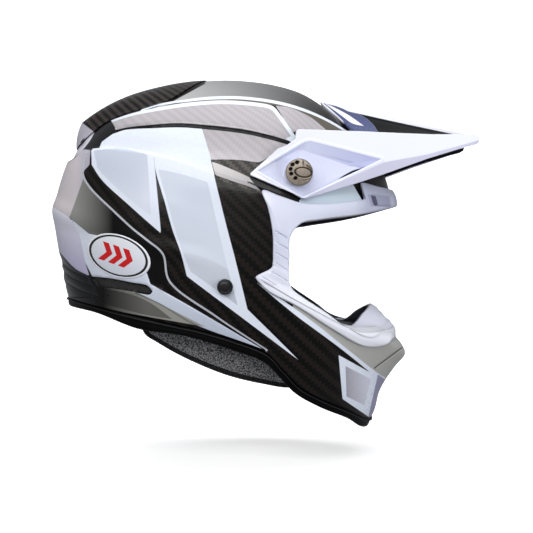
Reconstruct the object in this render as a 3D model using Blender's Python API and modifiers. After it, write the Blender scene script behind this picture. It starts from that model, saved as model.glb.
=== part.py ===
"""Motocross helmet: fibre shell, peak, pads, chin strap and fittings, as separate closed solids.

Frame: +X forward, +Y to the wearer's left, +Z up. The origin is the head reference point, in the
mid-plane between the ears. Lengths in the constants are millimetres; MM turns them into metres.
"""

import math

import bmesh
import bpy
import numpy as np
from mathutils import Vector

MM = 0.001

# ---------------------------------------------------------------- driving dimensions
POLE = (8.0, 10.0)          # side-view centre that the skin is measured from, (x, z)
HALF_WIDTH = 125.0          # widest half breadth of the outer skin
ROUNDNESS = 2.3             # exponent of the skin's section, 2 is an ellipse
NOSE_TAPER = 0.25           # share of the breadth lost between the eye port and the nose
TAPER_START, TAPER_LENGTH = 50.0, 110.0

SHELL_WALL = 3.0
TRIM_WALL = 2.4
RIM_WALL, RIM_SPLIT = 3.0, 5.0
EPS_OUTER, EPS_INNER = 6.6, 31.5
LINER_OUTER, LINER_INNER = 35.0, 43.0
CHIN_EPS_OUTER, CHIN_EPS_INNER = 6.5, 16.0
GAP = 0.4

# Side-view outline of the outer skin, closed, running from the brow over the crown
SILHOUETTE = [
    (153, 10), (150, 28), (146.5, 43), (143, 54), (138, 69.5), (126, 91), (110, 109), (90, 124.5),
    (66, 139.5),
    (41, 147), (20, 150), (0, 151), (-20, 150), (-38, 147), (-58, 141.5), (-79, 133.5), (-97, 123.5),
    (-113, 111), (-126, 97), (-135, 82), (-142, 67), (-147, 52), (-150.5, 38), (-148, 18),
    (-143.5, -8), (-140, -26), (-135, -45), (-122, -85), (-82, -128), (-20, -156), (40, -170), (90, -167),
    (117, -155), (129, -139), (135, -120), (143, -104), (154, -88), (153.5, -80), (150, -70), (149, -45),
    (151, -15),
]

# Edge of the shell round the eye port, from the brow to the chin
SHELL_PORT = [
    (146, 46.5), (115, 38.5), (74, 33), (56, 31), (48, 20), (47, 0), (46.5, -16), (45.5, -30),
    (59, -41.5), (84, -55), (98, -65), (114, -70), (131, -71), (150.5, -71.5),
]
# Lower edge of the shell, from the nape to the chin
SHELL_RIM = [
    (-137.5, -36), (-104.4, -42.4), (-69, -49.2), (-36, -56.5), (-18, -60.2), (12, -69), (36, -79),
    (48, -92), (62, -107), (82, -119), (104, -130), (122, -137), (130, -137.5),
]
# Lower edge of the rim trim, from the nape to the chin
TRIM_RIM = [
    (-134.6, -44.5), (-104, -48.5), (-68, -61), (-30, -66), (10, -78), (33, -87), (46, -100),
    (58, -113), (78, -125.5), (103, -138), (118, -146.5), (125, -146),
]
# The eye-port trim's outer edge on the skin and its inner edge round the opening
PORT_TRIM_OUTER = [
    (143.4, 54.6), (114, 45.2), (66.4, 39.6), (46, 45.5), (31.5, 50), (36, 36), (39.6, 17.4), (40, 0),
    (38, -11), (28.5, -19), (38, -30.5), (58.4, -41), (87, -60), (112, -74.5), (133, -77), (152.5, -77.5),
]
PORT_TRIM_INNER = [
    (147.2, 41), (115, 33), (78, 27.5), (62, 24), (54, 14), (53, -3), (52.6, -17), (55, -27),
    (64, -34.5), (84, -48), (97, -58), (113, -63.5), (131, -65), (149.5, -65.5),
]

# Visor: station lines of its left half, (x, y, z), rear to front
PIVOT = (61.0, 64.5)        # side screws' axis, (x, z)
VISOR_WALL = 2.6
VISOR_REAR = [(83, 0, 132), (94, 27, 121), (108, 52, 106), (116, 80, 100.5)]
VISOR_FRONT = [(209, 0, 102.5), (211, 17, 101), (211, 33, 99), (207, 45, 98)]
WING_TOP = [(24, 118, 64.5), (44, 116, 82), (57, 108, 90), (63, 102, 97), (85, 92, 98.5), (116, 80, 98.5)]
WING_LOW = [(25, 119, 62), (45, 119, 52), (67, 112, 44), (90, 101, 53), (113, 90, 62), (153, 75, 76),
            (200, 57, 90), (214, 48, 95)]
WING_CLEAR, WING_SEAT = 2.2, 0.4
FIN_RISE = 8.0
REAR_VENT = [(-104, -18), (-88, -19.5), (-63, -25), (-57, -29), (-60, -32), (-72, -31), (-86, -27.5),
             (-101, -25)]
BADGE_AT, BADGE_SIZE, BADGE_TILT = (-84, -1.5), (28, 17), -18
BROW_VENT = [(116, 42), (132, 45), (137, 50), (120, 47)]
CHEEK_PAD = [
    (-64, -60), (-60, -42), (-34, -32), (-20, -36), (-14, -46), (20, -46), (26, -36), (40, -27), (54, -36),
    (70, -52), (82, -66), (84, -88), (75, -106), (56, -112), (22, -106), (-4, -98), (-31, -89), (-51, -79),
]
CHEEK_BASE = [(-57, -58), (-52, -45), (-30, -40), (-14, -53), (20, -52), (40, -38), (56, -48), (66, -62),
              (62, -80), (44, -84), (10, -74), (-30, -66)]
PAD_SNAPS = [(-38, -52), (44, -60)]
PAD_OUT, PAD_IN, PAD_DEPTH = 98.0, 66.0, 18.0
RING_AT, RING_SIZE, RING_WIRE, RING_TURN = (-54.0, -72.0), (14.0, 27.0), 1.5, (15.5, 7.5)

STRAP_AXIS = (2.5, -26.0)   # strap rivets' axis, (x, z)
STRAP_WIDTH, STRAP_THICK = 22.0, 2.0

TURNED_STEPS = 16           # facets round the small turned pieces
CUT_THROUGH = 300.0         # length of a cutter that passes through both sides
PIVOT_BORE, FOAM_BORE, RIVET_BORE = 6.4, 8.5, 3.5
STRAP_ALONG = np.array([0.853, -0.521])    # the closed strap's direction under the chin, (y, z)
STRAP_OUT = np.array([-0.521, -0.853])     # away from the throat, square to it
STRAP_SNAP_AT = 50.0        # the press stud's place along the strap from the rings
END_HOLD = 6                # how fast a grid's end columns lose their hold on the columns beside them

SCENE_COLLECTION = "motocross_helmet"
CUTTERS = "cutters"

# ---------------------------------------------------------------- materials: colour, roughness, metallic
FINISHES = {
    "painted_shell": ((0.72, 0.75, 0.82), 0.18, 0.0),
    "gloss_white_plastic": ((0.80, 0.82, 0.90), 0.25, 0.0),
    "carbon": ((0.020, 0.018, 0.015), 0.20, 0.1),
    "black_rubber": ((0.012, 0.012, 0.013), 0.55, 0.0),
    "black_plastic": ((0.015, 0.015, 0.017), 0.35, 0.0),
    "foam": ((0.03, 0.03, 0.032), 0.90, 0.0),
    "heather_fabric": ((0.07, 0.07, 0.075), 0.95, 0.0),
    "dark_mesh_fabric": ((0.02, 0.02, 0.022), 0.95, 0.0),
    "webbing": ((0.015, 0.015, 0.016), 0.85, 0.0),
    "titanium": ((0.45, 0.39, 0.33), 0.28, 1.0),
    "steel": ((0.60, 0.60, 0.62), 0.30, 1.0),
    "wire_mesh": ((0.03, 0.03, 0.03), 0.40, 0.8),
}


# ---------------------------------------------------------------- curves and the skin
def spline(points, count, closed=False):
    """count points, evenly spaced by length, on a smooth curve through points of any dimension."""
    p = np.array(points, float)
    if closed:
        p = np.vstack([p[-1], p, p[0], p[1]])
    else:
        p = np.vstack([2 * p[0] - p[1], p, 2 * p[-1] - p[-2]])
    knots = np.concatenate([[0], np.cumsum(np.sqrt(np.linalg.norm(np.diff(p, axis=0), axis=1)))])
    dense = []
    for i in range(1, len(p) - 2):
        t0, t1, t2, t3 = knots[i - 1:i + 3]
        for t in np.linspace(t1, t2, 24, endpoint=False):
            a1 = p[i - 1] * (t1 - t) / (t1 - t0) + p[i] * (t - t0) / (t1 - t0)
            a2 = p[i] * (t2 - t) / (t2 - t1) + p[i + 1] * (t - t1) / (t2 - t1)
            a3 = p[i + 1] * (t3 - t) / (t3 - t2) + p[i + 2] * (t - t2) / (t3 - t2)
            b1 = a1 * (t2 - t) / (t2 - t0) + a2 * (t - t0) / (t2 - t0)
            b2 = a2 * (t3 - t) / (t3 - t1) + a3 * (t - t1) / (t3 - t1)
            dense.append(b1 * (t2 - t) / (t2 - t1) + b2 * (t - t1) / (t2 - t1))
    dense.append(p[-2])
    return resample(np.array(dense), count)


def resample(line, count):
    """count points, evenly spaced by length, along a polyline."""
    length = np.concatenate([[0], np.cumsum(np.linalg.norm(np.diff(line, axis=0), axis=1))])
    at = np.linspace(0, length[-1], count)
    return np.stack([np.interp(at, length, line[:, k]) for k in range(line.shape[1])], axis=1)


def silhouette_table():
    """Angles round the pole and the outline's distance from it at each, over three turns."""
    ring = spline(SILHOUETTE, 1441, closed=True) - np.array(POLE)
    angle = np.arctan2(ring[:, 1], ring[:, 0])
    order = np.argsort(angle)
    angle, reach = angle[order], np.linalg.norm(ring, axis=1)[order]
    turn = 2 * math.pi
    return np.concatenate([angle - turn, angle, angle + turn]), np.tile(reach, 3)


ANGLES, REACHES = silhouette_table()


def reach(angle):
    return np.interp(angle, ANGLES, REACHES)


def half_breadth(x):
    """The skin's widest half breadth at x: full at the ears, less towards the nose."""
    s = np.clip((x - TAPER_START) / TAPER_LENGTH, 0, 1)
    return HALF_WIDTH * (1 - NOSE_TAPER * s * s * (3 - 2 * s))


def to_disc(points):
    """Side-view points (x, z) as points of the unit disc whose rim is the mid-plane outline."""
    p = np.asarray(points, float) - np.array(POLE)
    angle = np.arctan2(p[:, 1], p[:, 0])
    share = np.clip(np.linalg.norm(p, axis=1) / reach(angle), 0, 1)
    t = np.arcsin(share) * 2 / math.pi
    return np.stack([t * np.cos(angle), t * np.sin(angle)], axis=1)


def from_disc(q, depth):
    """Points (x, y, z) of the left half of the skin sunk by depth, for disc points q."""
    t = np.clip(np.linalg.norm(q, axis=-1), 0, 1)
    angle = np.arctan2(q[..., 1], q[..., 0])
    share = np.sin(t * math.pi / 2)
    r = share * (reach(angle) - depth)
    x = POLE[0] + r * np.cos(angle)
    z = POLE[1] + r * np.sin(angle)
    y = (half_breadth(x) - depth) * np.clip(1 - share ** ROUNDNESS, 0, 1) ** (1 / ROUNDNESS)
    y = np.where(t > 0.9999, 0.0, y)
    return np.stack([x, y, z], axis=-1)


def side_y(x, z, depth=0.0):
    """How far out from the mid-plane the skin, sunk by depth, lies at a side-view point."""
    dx, dz = x - POLE[0], z - POLE[1]
    share = np.clip(np.hypot(dx, dz) / (reach(np.arctan2(dz, dx)) - depth), 0, 1)
    return (half_breadth(x) - depth) * (1 - share ** ROUNDNESS) ** (1 / ROUNDNESS)


def edge_curve(points, count, mid_ends=(True, True)):
    """A side-view curve in the disc, its ends moved onto the mid-plane where mid_ends says so."""
    q = to_disc(spline(points, 200))
    for end, on_mid in zip((0, -1), mid_ends):
        if on_mid:
            q[end] /= np.linalg.norm(q[end])
    return resample(q, count)


def snapped(q):
    """The same disc curve with both ends on the mid-plane."""
    q = np.array(q)
    for end in (0, -1):
        q[end] /= np.linalg.norm(q[end])
    return q


def mid_curve(q0, q1, count, turn):
    """The mid-plane outline from disc point q0 to q1, going anticlockwise for turn 1."""
    a0, a1 = math.atan2(q0[1], q0[0]), math.atan2(q1[1], q1[0])
    while turn * (a1 - a0) < 0:
        a1 += turn * 2 * math.pi
    a = np.linspace(a0, a1, count)
    return np.stack([np.cos(a), np.sin(a)], axis=1)


def coons(inner, outer, left, right):
    """A grid in the disc from curve inner to curve outer, its end columns on curves left and right."""
    u = np.linspace(0, 1, len(inner))[:, None, None]
    v = np.linspace(0, 1, len(left))[None, :, None]
    ruled = (1 - v) * inner[:, None] + v * outer[:, None]
    at_left = (1 - u) ** END_HOLD * (left[None] - ruled[:1])
    at_right = u ** END_HOLD * (right[None] - ruled[-1:])
    return ruled + at_left + at_right


def in_sections(curve, marks, counts):
    """The curve cut at the points nearest to marks and resampled with its own count for each section."""
    cuts = [0] + [int(np.argmin(np.linalg.norm(curve - m, axis=1))) for m in marks] + [len(curve) - 1]
    parts = []
    for k, count in enumerate(counts):
        part = resample(curve[cuts[k]:cuts[k + 1] + 1], count + 1)
        parts.append(part if k == 0 else part[1:])
    return np.vstack(parts)


# ---------------------------------------------------------------- objects and materials
def clear_scene():
    for ob in list(bpy.data.objects):
        bpy.data.objects.remove(ob, do_unlink=True)


def collection(name):
    found = bpy.data.collections.get(name)
    if found is None:
        found = bpy.data.collections.new(name)
        bpy.context.scene.collection.children.link(found)
    return found


def finish_of(name):
    found = bpy.data.materials.get(name)
    if found is None:
        colour, roughness, metallic = FINISHES[name]
        found = bpy.data.materials.new(name)
        found.use_nodes = True
        shader = found.node_tree.nodes["Principled BSDF"]
        shader.inputs["Base Color"].default_value = (*colour, 1)
        shader.inputs["Roughness"].default_value = roughness
        shader.inputs["Metallic"].default_value = metallic
        found.diffuse_color = (*colour, 1)
    return found


def add_object(name, data, finish, parent=None):
    ob = bpy.data.objects.new(name, data)
    collection(SCENE_COLLECTION).objects.link(ob)
    ob.data.materials.append(finish_of(finish))
    if parent is not None:
        ob.parent = parent
        ob.matrix_parent_inverse = parent.matrix_basis.inverted()
    return ob


def mesh_from(name, points, faces, outward=None):
    """A mesh from points in mm, welded, its faces turned to point away from outward if given."""
    mesh = bpy.data.meshes.new(name)
    mesh.from_pydata([tuple(p) for p in np.asarray(points) * MM], [], faces)
    bm = bmesh.new()
    bm.from_mesh(mesh)
    bmesh.ops.remove_doubles(bm, verts=bm.verts, dist=1e-6)
    bmesh.ops.dissolve_degenerate(bm, dist=1e-6, edges=bm.edges)
    bmesh.ops.recalc_face_normals(bm, faces=bm.faces)
    bm.normal_update()
    if outward is not None:
        centre = np.array(outward) * MM
        total = 0.0
        for face in bm.faces:
            out = np.array(face.calc_center_median()) - centre
            total += float(np.dot(out, np.array(face.normal))) * face.calc_area()
        if total < 0:
            bmesh.ops.reverse_faces(bm, faces=bm.faces)
    bm.to_mesh(mesh)
    bm.free()
    mesh.shade_smooth()
    return mesh


def grid_faces(nu, nv):
    return [(i * nv + j, (i + 1) * nv + j, (i + 1) * nv + j + 1, i * nv + j + 1)
            for i in range(nu - 1) for j in range(nv - 1)]


def mirror_y(ob):
    mod = ob.modifiers.new("Mirror", "MIRROR")
    mod.use_axis = (False, True, False)
    mod.merge_threshold = 0.00005


def solidify(ob, wall, inward=True):
    mod = ob.modifiers.new("Solidify", "SOLIDIFY")
    mod.thickness = wall * MM
    mod.offset = -1 if inward else 1
    mod.use_even_offset = False


def skin_sheet(name, grid, depth, wall, finish):
    """A mirrored sheet on the skin, given its wall inward by Solidify."""
    nu, nv = grid.shape[:2]
    mesh = mesh_from(name, from_disc(grid, depth).reshape(-1, 3), grid_faces(nu, nv), (0, 40, 0))
    ob = add_object(name, mesh, finish)
    mirror_y(ob)
    solidify(ob, wall)
    return ob


def between_skins(name, grid, outer_depth, inner_depth, finish, open_sides=()):
    """A thick mirrored layer between two depths of the skin, walled along its free edges."""
    nu, nv = grid.shape[:2]
    a = from_disc(grid, outer_depth).reshape(-1, 3)
    b = from_disc(grid, inner_depth).reshape(-1, 3)
    n = nu * nv
    faces = grid_faces(nu, nv) + [tuple(n + k for k in reversed(f)) for f in grid_faces(nu, nv)]
    edges = {
        "inner": [i * nv for i in range(nu)],
        "outer": [i * nv + nv - 1 for i in range(nu)],
        "left": list(range(nv)),
        "right": [(nu - 1) * nv + j for j in range(nv)],
    }
    for side, line in edges.items():
        if side not in open_sides:
            faces += [(k, m, m + n, k + n) for k, m in zip(line, line[1:])]
    mesh = mesh_from(name, np.vstack([a, b]), faces)
    ob = add_object(name, mesh, finish)
    mirror_y(ob)
    fix_outward(ob)
    return ob


def fix_outward(ob):
    """Turns the half mesh's faces out, judged by its signed volume about a point on the mid-plane."""
    bm = bmesh.new()
    bm.from_mesh(ob.data)
    bmesh.ops.triangulate(bm, faces=bm.faces)
    volume = sum(f.verts[0].co.dot(f.verts[1].co.cross(f.verts[2].co)) for f in bm.faces)
    bm.free()
    if volume < 0:
        ob.data.flip_normals()


def slab(name, outline, y_outer, y_inner, finish, side=1, rings=3, count=40, parent=None):
    """A closed plate over a side-view outline, between two distances from the mid-plane."""
    ring = spline(outline, count + 1, closed=True)[:-1]
    count = len(ring)
    centre = ring.mean(axis=0)
    points, faces = [], []
    for y_of in (y_outer, y_inner):
        for k in range(rings, 0, -1):
            for x, z in centre + (ring - centre) * k / rings:
                points.append((x, side * y_of(x, z), z))
        points.append((centre[0], side * y_of(*centre), centre[1]))
    block = rings * count + 1
    for half in (0, block):
        for k in range(rings - 1):
            for i in range(count):
                j = (i + 1) % count
                a, b = half + k * count, half + (k + 1) * count
                faces.append((a + i, a + j, b + j, b + i))
        last = half + (rings - 1) * count
        faces += [(last + i, last + (i + 1) % count, half + block - 1) for i in range(count)]
    faces += [(i, (i + 1) % count, block + (i + 1) % count, block + i) for i in range(count)]
    mesh = mesh_from(name, points, faces)
    ob = add_object(name, mesh, finish, parent)
    fix_outward_about(ob, points)
    return ob


def fix_outward_about(ob, points):
    centre = np.mean(points, axis=0) * MM
    bm = bmesh.new()
    bm.from_mesh(ob.data)
    bmesh.ops.triangulate(bm, faces=bm.faces)
    total = 0.0
    for f in bm.faces:
        a, b, c = (np.array(v.co) - centre for v in f.verts)
        total += float(np.dot(a, np.cross(b, c)))
    bm.free()
    if total < 0:
        ob.data.flip_normals()


def turned(name, profile, place, direction, finish, parent=None, steps=24):
    """A turned piece: profile (radius, height) in mm from the top down, its axis along direction."""
    mesh = bpy.data.meshes.new(name)
    is_ring = profile[0] == profile[-1]
    corners = profile[:-1] if is_ring else profile
    edges = [(i, (i + 1) % len(corners)) for i in range(len(profile) - 1)]
    mesh.from_pydata([(r * MM, 0, h * MM) for r, h in corners], edges, [])
    ob = add_object(name, mesh, finish)
    mod = ob.modifiers.new("Screw", "SCREW")
    mod.steps = steps
    mod.render_steps = steps
    mod.use_merge_vertices = True
    mod.merge_threshold = 0.00002
    mod.use_smooth_shade = True
    ob.location = tuple(c * MM for c in place)
    z = np.array(direction, float) / np.linalg.norm(direction)
    ob.rotation_euler = track(z)
    if parent is not None:
        ob.parent = parent
        ob.matrix_parent_inverse = parent.matrix_basis.inverted()
    return ob


def track(z):
    return Vector(z).to_track_quat("Z", "X").to_euler()


def empty(name, place):
    ob = bpy.data.objects.new(name, None)
    collection(SCENE_COLLECTION).objects.link(ob)
    ob.location = tuple(c * MM for c in place)
    return ob


def strap_band(name, path, finish, parent=None):
    """A flat band of webbing: its path (y, z) in the cross plane, its width along X."""
    across = STRAP_AXIS[0] + STRAP_WIDTH * np.array([-0.5, 0.0, 0.5])
    points = [(x, y, z) for y, z in path for x in across]
    ob = add_object(name, mesh_from(name, points, grid_faces(len(path), len(across))), finish, parent)
    mod = ob.modifiers.new("Solidify", "SOLIDIFY")
    mod.thickness = STRAP_THICK * MM
    mod.offset = 0
    return ob


# ---------------------------------------------------------------- shell and trims
def shell_grid(counts, nv):
    """The shell's grid: one section over the crown, one round the nape and one along the jaw."""
    corners = to_disc([SHELL_PORT[3], (46.8, -8), SHELL_PORT[7]])
    inner = in_sections(edge_curve(SHELL_PORT, 600), corners, counts)
    rim = edge_curve(SHELL_RIM, 600)
    start = to_disc([(124, 93)])[0]
    start /= np.linalg.norm(start)
    over = np.vstack([mid_curve(start, rim[0], 800, 1), rim[1:]])
    outer = in_sections(over, np.vstack([to_disc([(-98, 119.2)]), rim[:1], to_disc([(0, -66)])]), counts)
    return coons(inner, outer, mid_curve(inner[0], start, nv, 1), mid_curve(inner[-1], rim[-1], nv, -1))


def make_shell():
    skin_sheet("outer_shell", shell_grid((10, 10, 12, 14), 7), 0.0, SHELL_WALL, "painted_shell")


def swept_section(name, rails, finish):
    """A mirrored body whose section's corners run along rails, given in order round the section."""
    grid = np.stack(rails, axis=1)
    nu, nv = grid.shape[:2]
    faces = [(i * nv + j, (i + 1) * nv + j, (i + 1) * nv + (j + 1) % nv, i * nv + (j + 1) % nv)
             for i in range(nu - 1) for j in range(nv)]
    mesh = mesh_from(name, grid.reshape(-1, 3), faces)
    ob = add_object(name, mesh, finish)
    fix_section(ob, grid)
    mirror_y(ob)
    return ob


def fix_section(ob, grid):
    """Turns the faces of a swept section outward, judged at its first face against the section's centre."""
    centre = grid.mean(axis=1)
    face = ob.data.polygons[0]
    at = np.array(face.center) / MM
    near = centre[np.argmin(np.linalg.norm(centre - at, axis=1))]
    if float(np.dot(at - near, np.array(face.normal))) < 0:
        ob.data.flip_normals()


def make_rim_trim():
    """Black rim band below the shell's edge, turned in under it."""
    nu = 32
    top = edge_curve([(x, z - 3.0) for x, z in SHELL_RIM], nu)
    low = edge_curve(TRIM_RIM, nu)
    lip = edge_curve([(x, z + RIM_WALL) for x, z in TRIM_RIM], nu)
    rails = [from_disc(top, 0.0), from_disc(low, 0.0), from_disc(low, 14.0), from_disc(lip, 14.0),
             from_disc(lip, RIM_WALL), from_disc(top, RIM_WALL)]
    swept_section("base_rim_trim", rails, "black_rubber")


def make_port_trim():
    """White frame round the eye port: a raised band on the skin with a lip turned into the port."""
    counts = (9, 9, 3, 4, 13)
    marks = to_disc(PORT_TRIM_OUTER)[[4, 8, 9, 11]]
    outer = in_sections(edge_curve(PORT_TRIM_OUTER, 800), marks, counts)
    marks = to_disc(PORT_TRIM_INNER)[[4, 6, 7, 8]]
    inner = in_sections(edge_curve(PORT_TRIM_INNER, 800), marks, counts)
    breadth = np.linalg.norm(from_disc(outer, 0) - from_disc(inner, 0), axis=1)[:, None]
    reach_in = TRIM_WALL / breadth
    back = inner + (outer - inner) * np.clip(reach_in, 0, 0.6)
    middle = snapped((outer + inner) / 2)
    back = snapped(back)
    seat = snapped((outer + back) / 2)
    rails = [from_disc(outer, -1.6), from_disc(outer, -3.2), from_disc(middle, -4.0), from_disc(inner, -3.0),
             from_disc(inner, 9.0), from_disc(back, 9.0), from_disc(back, -1.6), from_disc(seat, -1.6)]
    swept_section("eyeport_trim", rails, "gloss_white_plastic")


def make_foam():
    """The two energy-absorbing foam bodies and the crown liner under the upper one."""
    nu, nv = 21, 6
    lower = edge_curve([(145, 50), (115, 42), (74, 36), (50, 31), (40, 14), (36, -2), (20, -9), (-50, -9),
                        (-100, -20), (-139, -25)], nu)
    ends = lower[0], lower[-1]
    crown = mid_curve(ends[0], ends[1], nu, 1)
    left = np.repeat(ends[0][None], nv, axis=0)
    right = np.repeat(ends[1][None], nv, axis=0)
    dome, open_sides = coons(lower, crown, left, right), ("outer", "left", "right")
    between_skins("eps_liner", dome, EPS_OUTER, EPS_INNER, "foam", open_sides)
    between_skins("comfort_liner", dome, LINER_OUTER, LINER_INNER, "dark_mesh_fabric", open_sides)
    top = edge_curve([(70, -50), (86, -61), (100, -71), (116, -77), (132, -79), (150, -79)], 12, (False, True))
    low = edge_curve([(70, -108), (86, -116), (104, -124), (122, -130), (130, -131)], 12, (False, True))
    chin = coons(top, low, resample(np.array([top[0], low[0]]), 5), mid_curve(top[-1], low[-1], 5, -1))
    between_skins("eps_chin_bar", chin, CHIN_EPS_OUTER, CHIN_EPS_INNER, "foam", ("right",))


def rails_body(name, rails, finish):
    """A mirrored body whose section runs from the mid-plane outward, closed at its far end."""
    grid = np.stack([np.asarray(r, float) for r in rails], axis=1)
    nu, nv = grid.shape[:2]
    faces = [(i * nv + j, (i + 1) * nv + j, (i + 1) * nv + (j + 1) % nv, i * nv + (j + 1) % nv)
             for i in range(nu - 1) for j in range(nv)]
    faces.append(tuple((nu - 1) * nv + j for j in range(nv)))
    mesh = mesh_from(name, grid.reshape(-1, 3), faces)
    ob = add_object(name, mesh, finish)
    fix_section(ob, grid)
    mirror_y(ob)
    return ob


def make_fin():
    """The raised trailing fin and the exhaust grille under its tail."""
    nu, nv = 12, 5
    low = edge_curve([(-26, 143), (-55, 133), (-85, 118), (-110, 103)], nu, (False, False))
    top = mid_curve(to_disc([(-24, 150)])[0], to_disc([(-113, 112.5)])[0], nu, 1)
    v = np.linspace(0, 1, nv)[None, :, None]
    grid = (1 - v) * low[:, None] + v * top[:, None]
    rise = -(1.5 + FIN_RISE * np.linspace(0, 1, nu) ** 1.5)[:, None]
    between_skins("rear_spoiler", grid, rise * np.ones((1, nv)), -0.6, "carbon", ("outer",))
    low = edge_curve([(-113, 106), (-117, 100), (-121, 94)], 5, (False, False))
    top = mid_curve(to_disc([(-119, 107.5)])[0], to_disc([(-127, 96)])[0], 5, 1)
    between_skins("rear_exhaust_mesh", (1 - v) * low[:, None] + v * top[:, None], -1.4, -0.5, "wire_mesh",
                  ("outer",))


def make_vents_and_badges():
    for side, word in ((1, "left"), (-1, "right")):
        slab(f"rear_vent_mesh_{word}", REAR_VENT, lambda x, z: side_y(x, z) + 1.5,
             lambda x, z: side_y(x, z) + 0.5, "wire_mesh", side, rings=1, count=18)
        slab(f"badge_plate_{word}", badge_outline(), lambda x, z: side_y(x, z) + 2.4,
             lambda x, z: side_y(x, z) + 0.6, "gloss_white_plastic", side, rings=2, count=24)
        slab(f"brow_vent_mesh_{word}", BROW_VENT, lambda x, z: side_y(x, z, -5.4),
             lambda x, z: side_y(x, z, -4.2), "wire_mesh", side, rings=1, count=16)


def badge_outline():
    a = np.linspace(0, 2 * math.pi, 24, endpoint=False)
    u, v = BADGE_SIZE[0] * np.cos(a), BADGE_SIZE[1] * np.sin(a)
    c, s = math.cos(math.radians(BADGE_TILT)), math.sin(math.radians(BADGE_TILT))
    return np.stack([BADGE_AT[0] + u * c - v * s, BADGE_AT[1] + u * s + v * c], axis=1)


def make_mouth_vent():
    """Raised centre of the chin bar, a saddle between the eye port and the nose."""
    y = np.array([0, 10, 20, 30, 38])
    lift = np.array([0, 0.8, 3, 7, 11])
    back = np.array([0, 1, 4, 9, 15])
    rails = [
        np.stack([143 - back, y, -58.5 + 0 * y], axis=1),
        np.stack([130.5 - 0.6 * back, y, -44 - lift], axis=1),
        np.stack([124.5 - 0.6 * back, y, -45.5 - lift], axis=1),
        np.stack([131 - 0.9 * back, y, -58.5 + 0 * y], axis=1),
    ]
    rails_body("mouth_vent_housing", rails, "gloss_white_plastic")
    y = np.array([0, 5, 10, 14])
    front = np.stack([142 - 0.08 * y ** 1.4, y, -57 + 0 * y], axis=1)
    top = np.stack([133 - 0.06 * y ** 1.4, y, -46.5 - 0.03 * y ** 1.5], axis=1)
    normal = np.array([0.76, 0, 0.65])
    rails_body("mouth_vent_mesh", [front + 1.4 * normal, top + 1.4 * normal, top + 2.4 * normal,
                                   front + 2.4 * normal], "wire_mesh")


def pad_outer(x, z):
    return np.minimum(PAD_OUT, side_y(x, z, PAD_DEPTH))


def make_pads():
    """Cheek pads on their moulded bases, the bases' press studs, and the padded roll at the nape."""
    for side, word in ((1, "left"), (-1, "right")):
        slab(f"cheek_pad_{word}", CHEEK_PAD, pad_outer, lambda x, z: min(PAD_IN, pad_outer(x, z) - 14),
             "heather_fabric", side, rings=3, count=34)
        slab(f"cheek_pad_base_{word}", CHEEK_BASE, lambda x, z: pad_outer(x, z) + 4.0,
             lambda x, z: pad_outer(x, z) + 2.5, "black_plastic", side, rings=2, count=26)
        for k, (x, z) in enumerate(PAD_SNAPS):
            y0 = max(float(pad_outer(x + d, z + e)) for d in (-6, 0, 6) for e in (-6, 0, 6)) + 4.5
            turned(f"cheek_pad_snap_{'ab'[k]}_{word}", [(0, 2.6), (2.6, 2.6), (4.2, 1.2), (4.2, 0), (0, 0)],
                   (x, side * y0, z), (0, side, 0), "black_plastic", steps=TURNED_STEPS)
    nu, nv = 10, 5
    low = edge_curve([(-90, -59), (-104, -56), (-120, -51), (-134, -47)], nu, (False, True))
    top = edge_curve([(-90, -28), (-104, -30), (-122, -33), (-139.5, -36)], nu, (False, True))
    left = resample(np.array([low[0], top[0]]), nv)
    between_skins("neck_roll", coons(low, top, left, mid_curve(low[-1], top[-1], nv, -1)), 17.0, 33.0,
                  "heather_fabric", ("right",))


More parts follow.
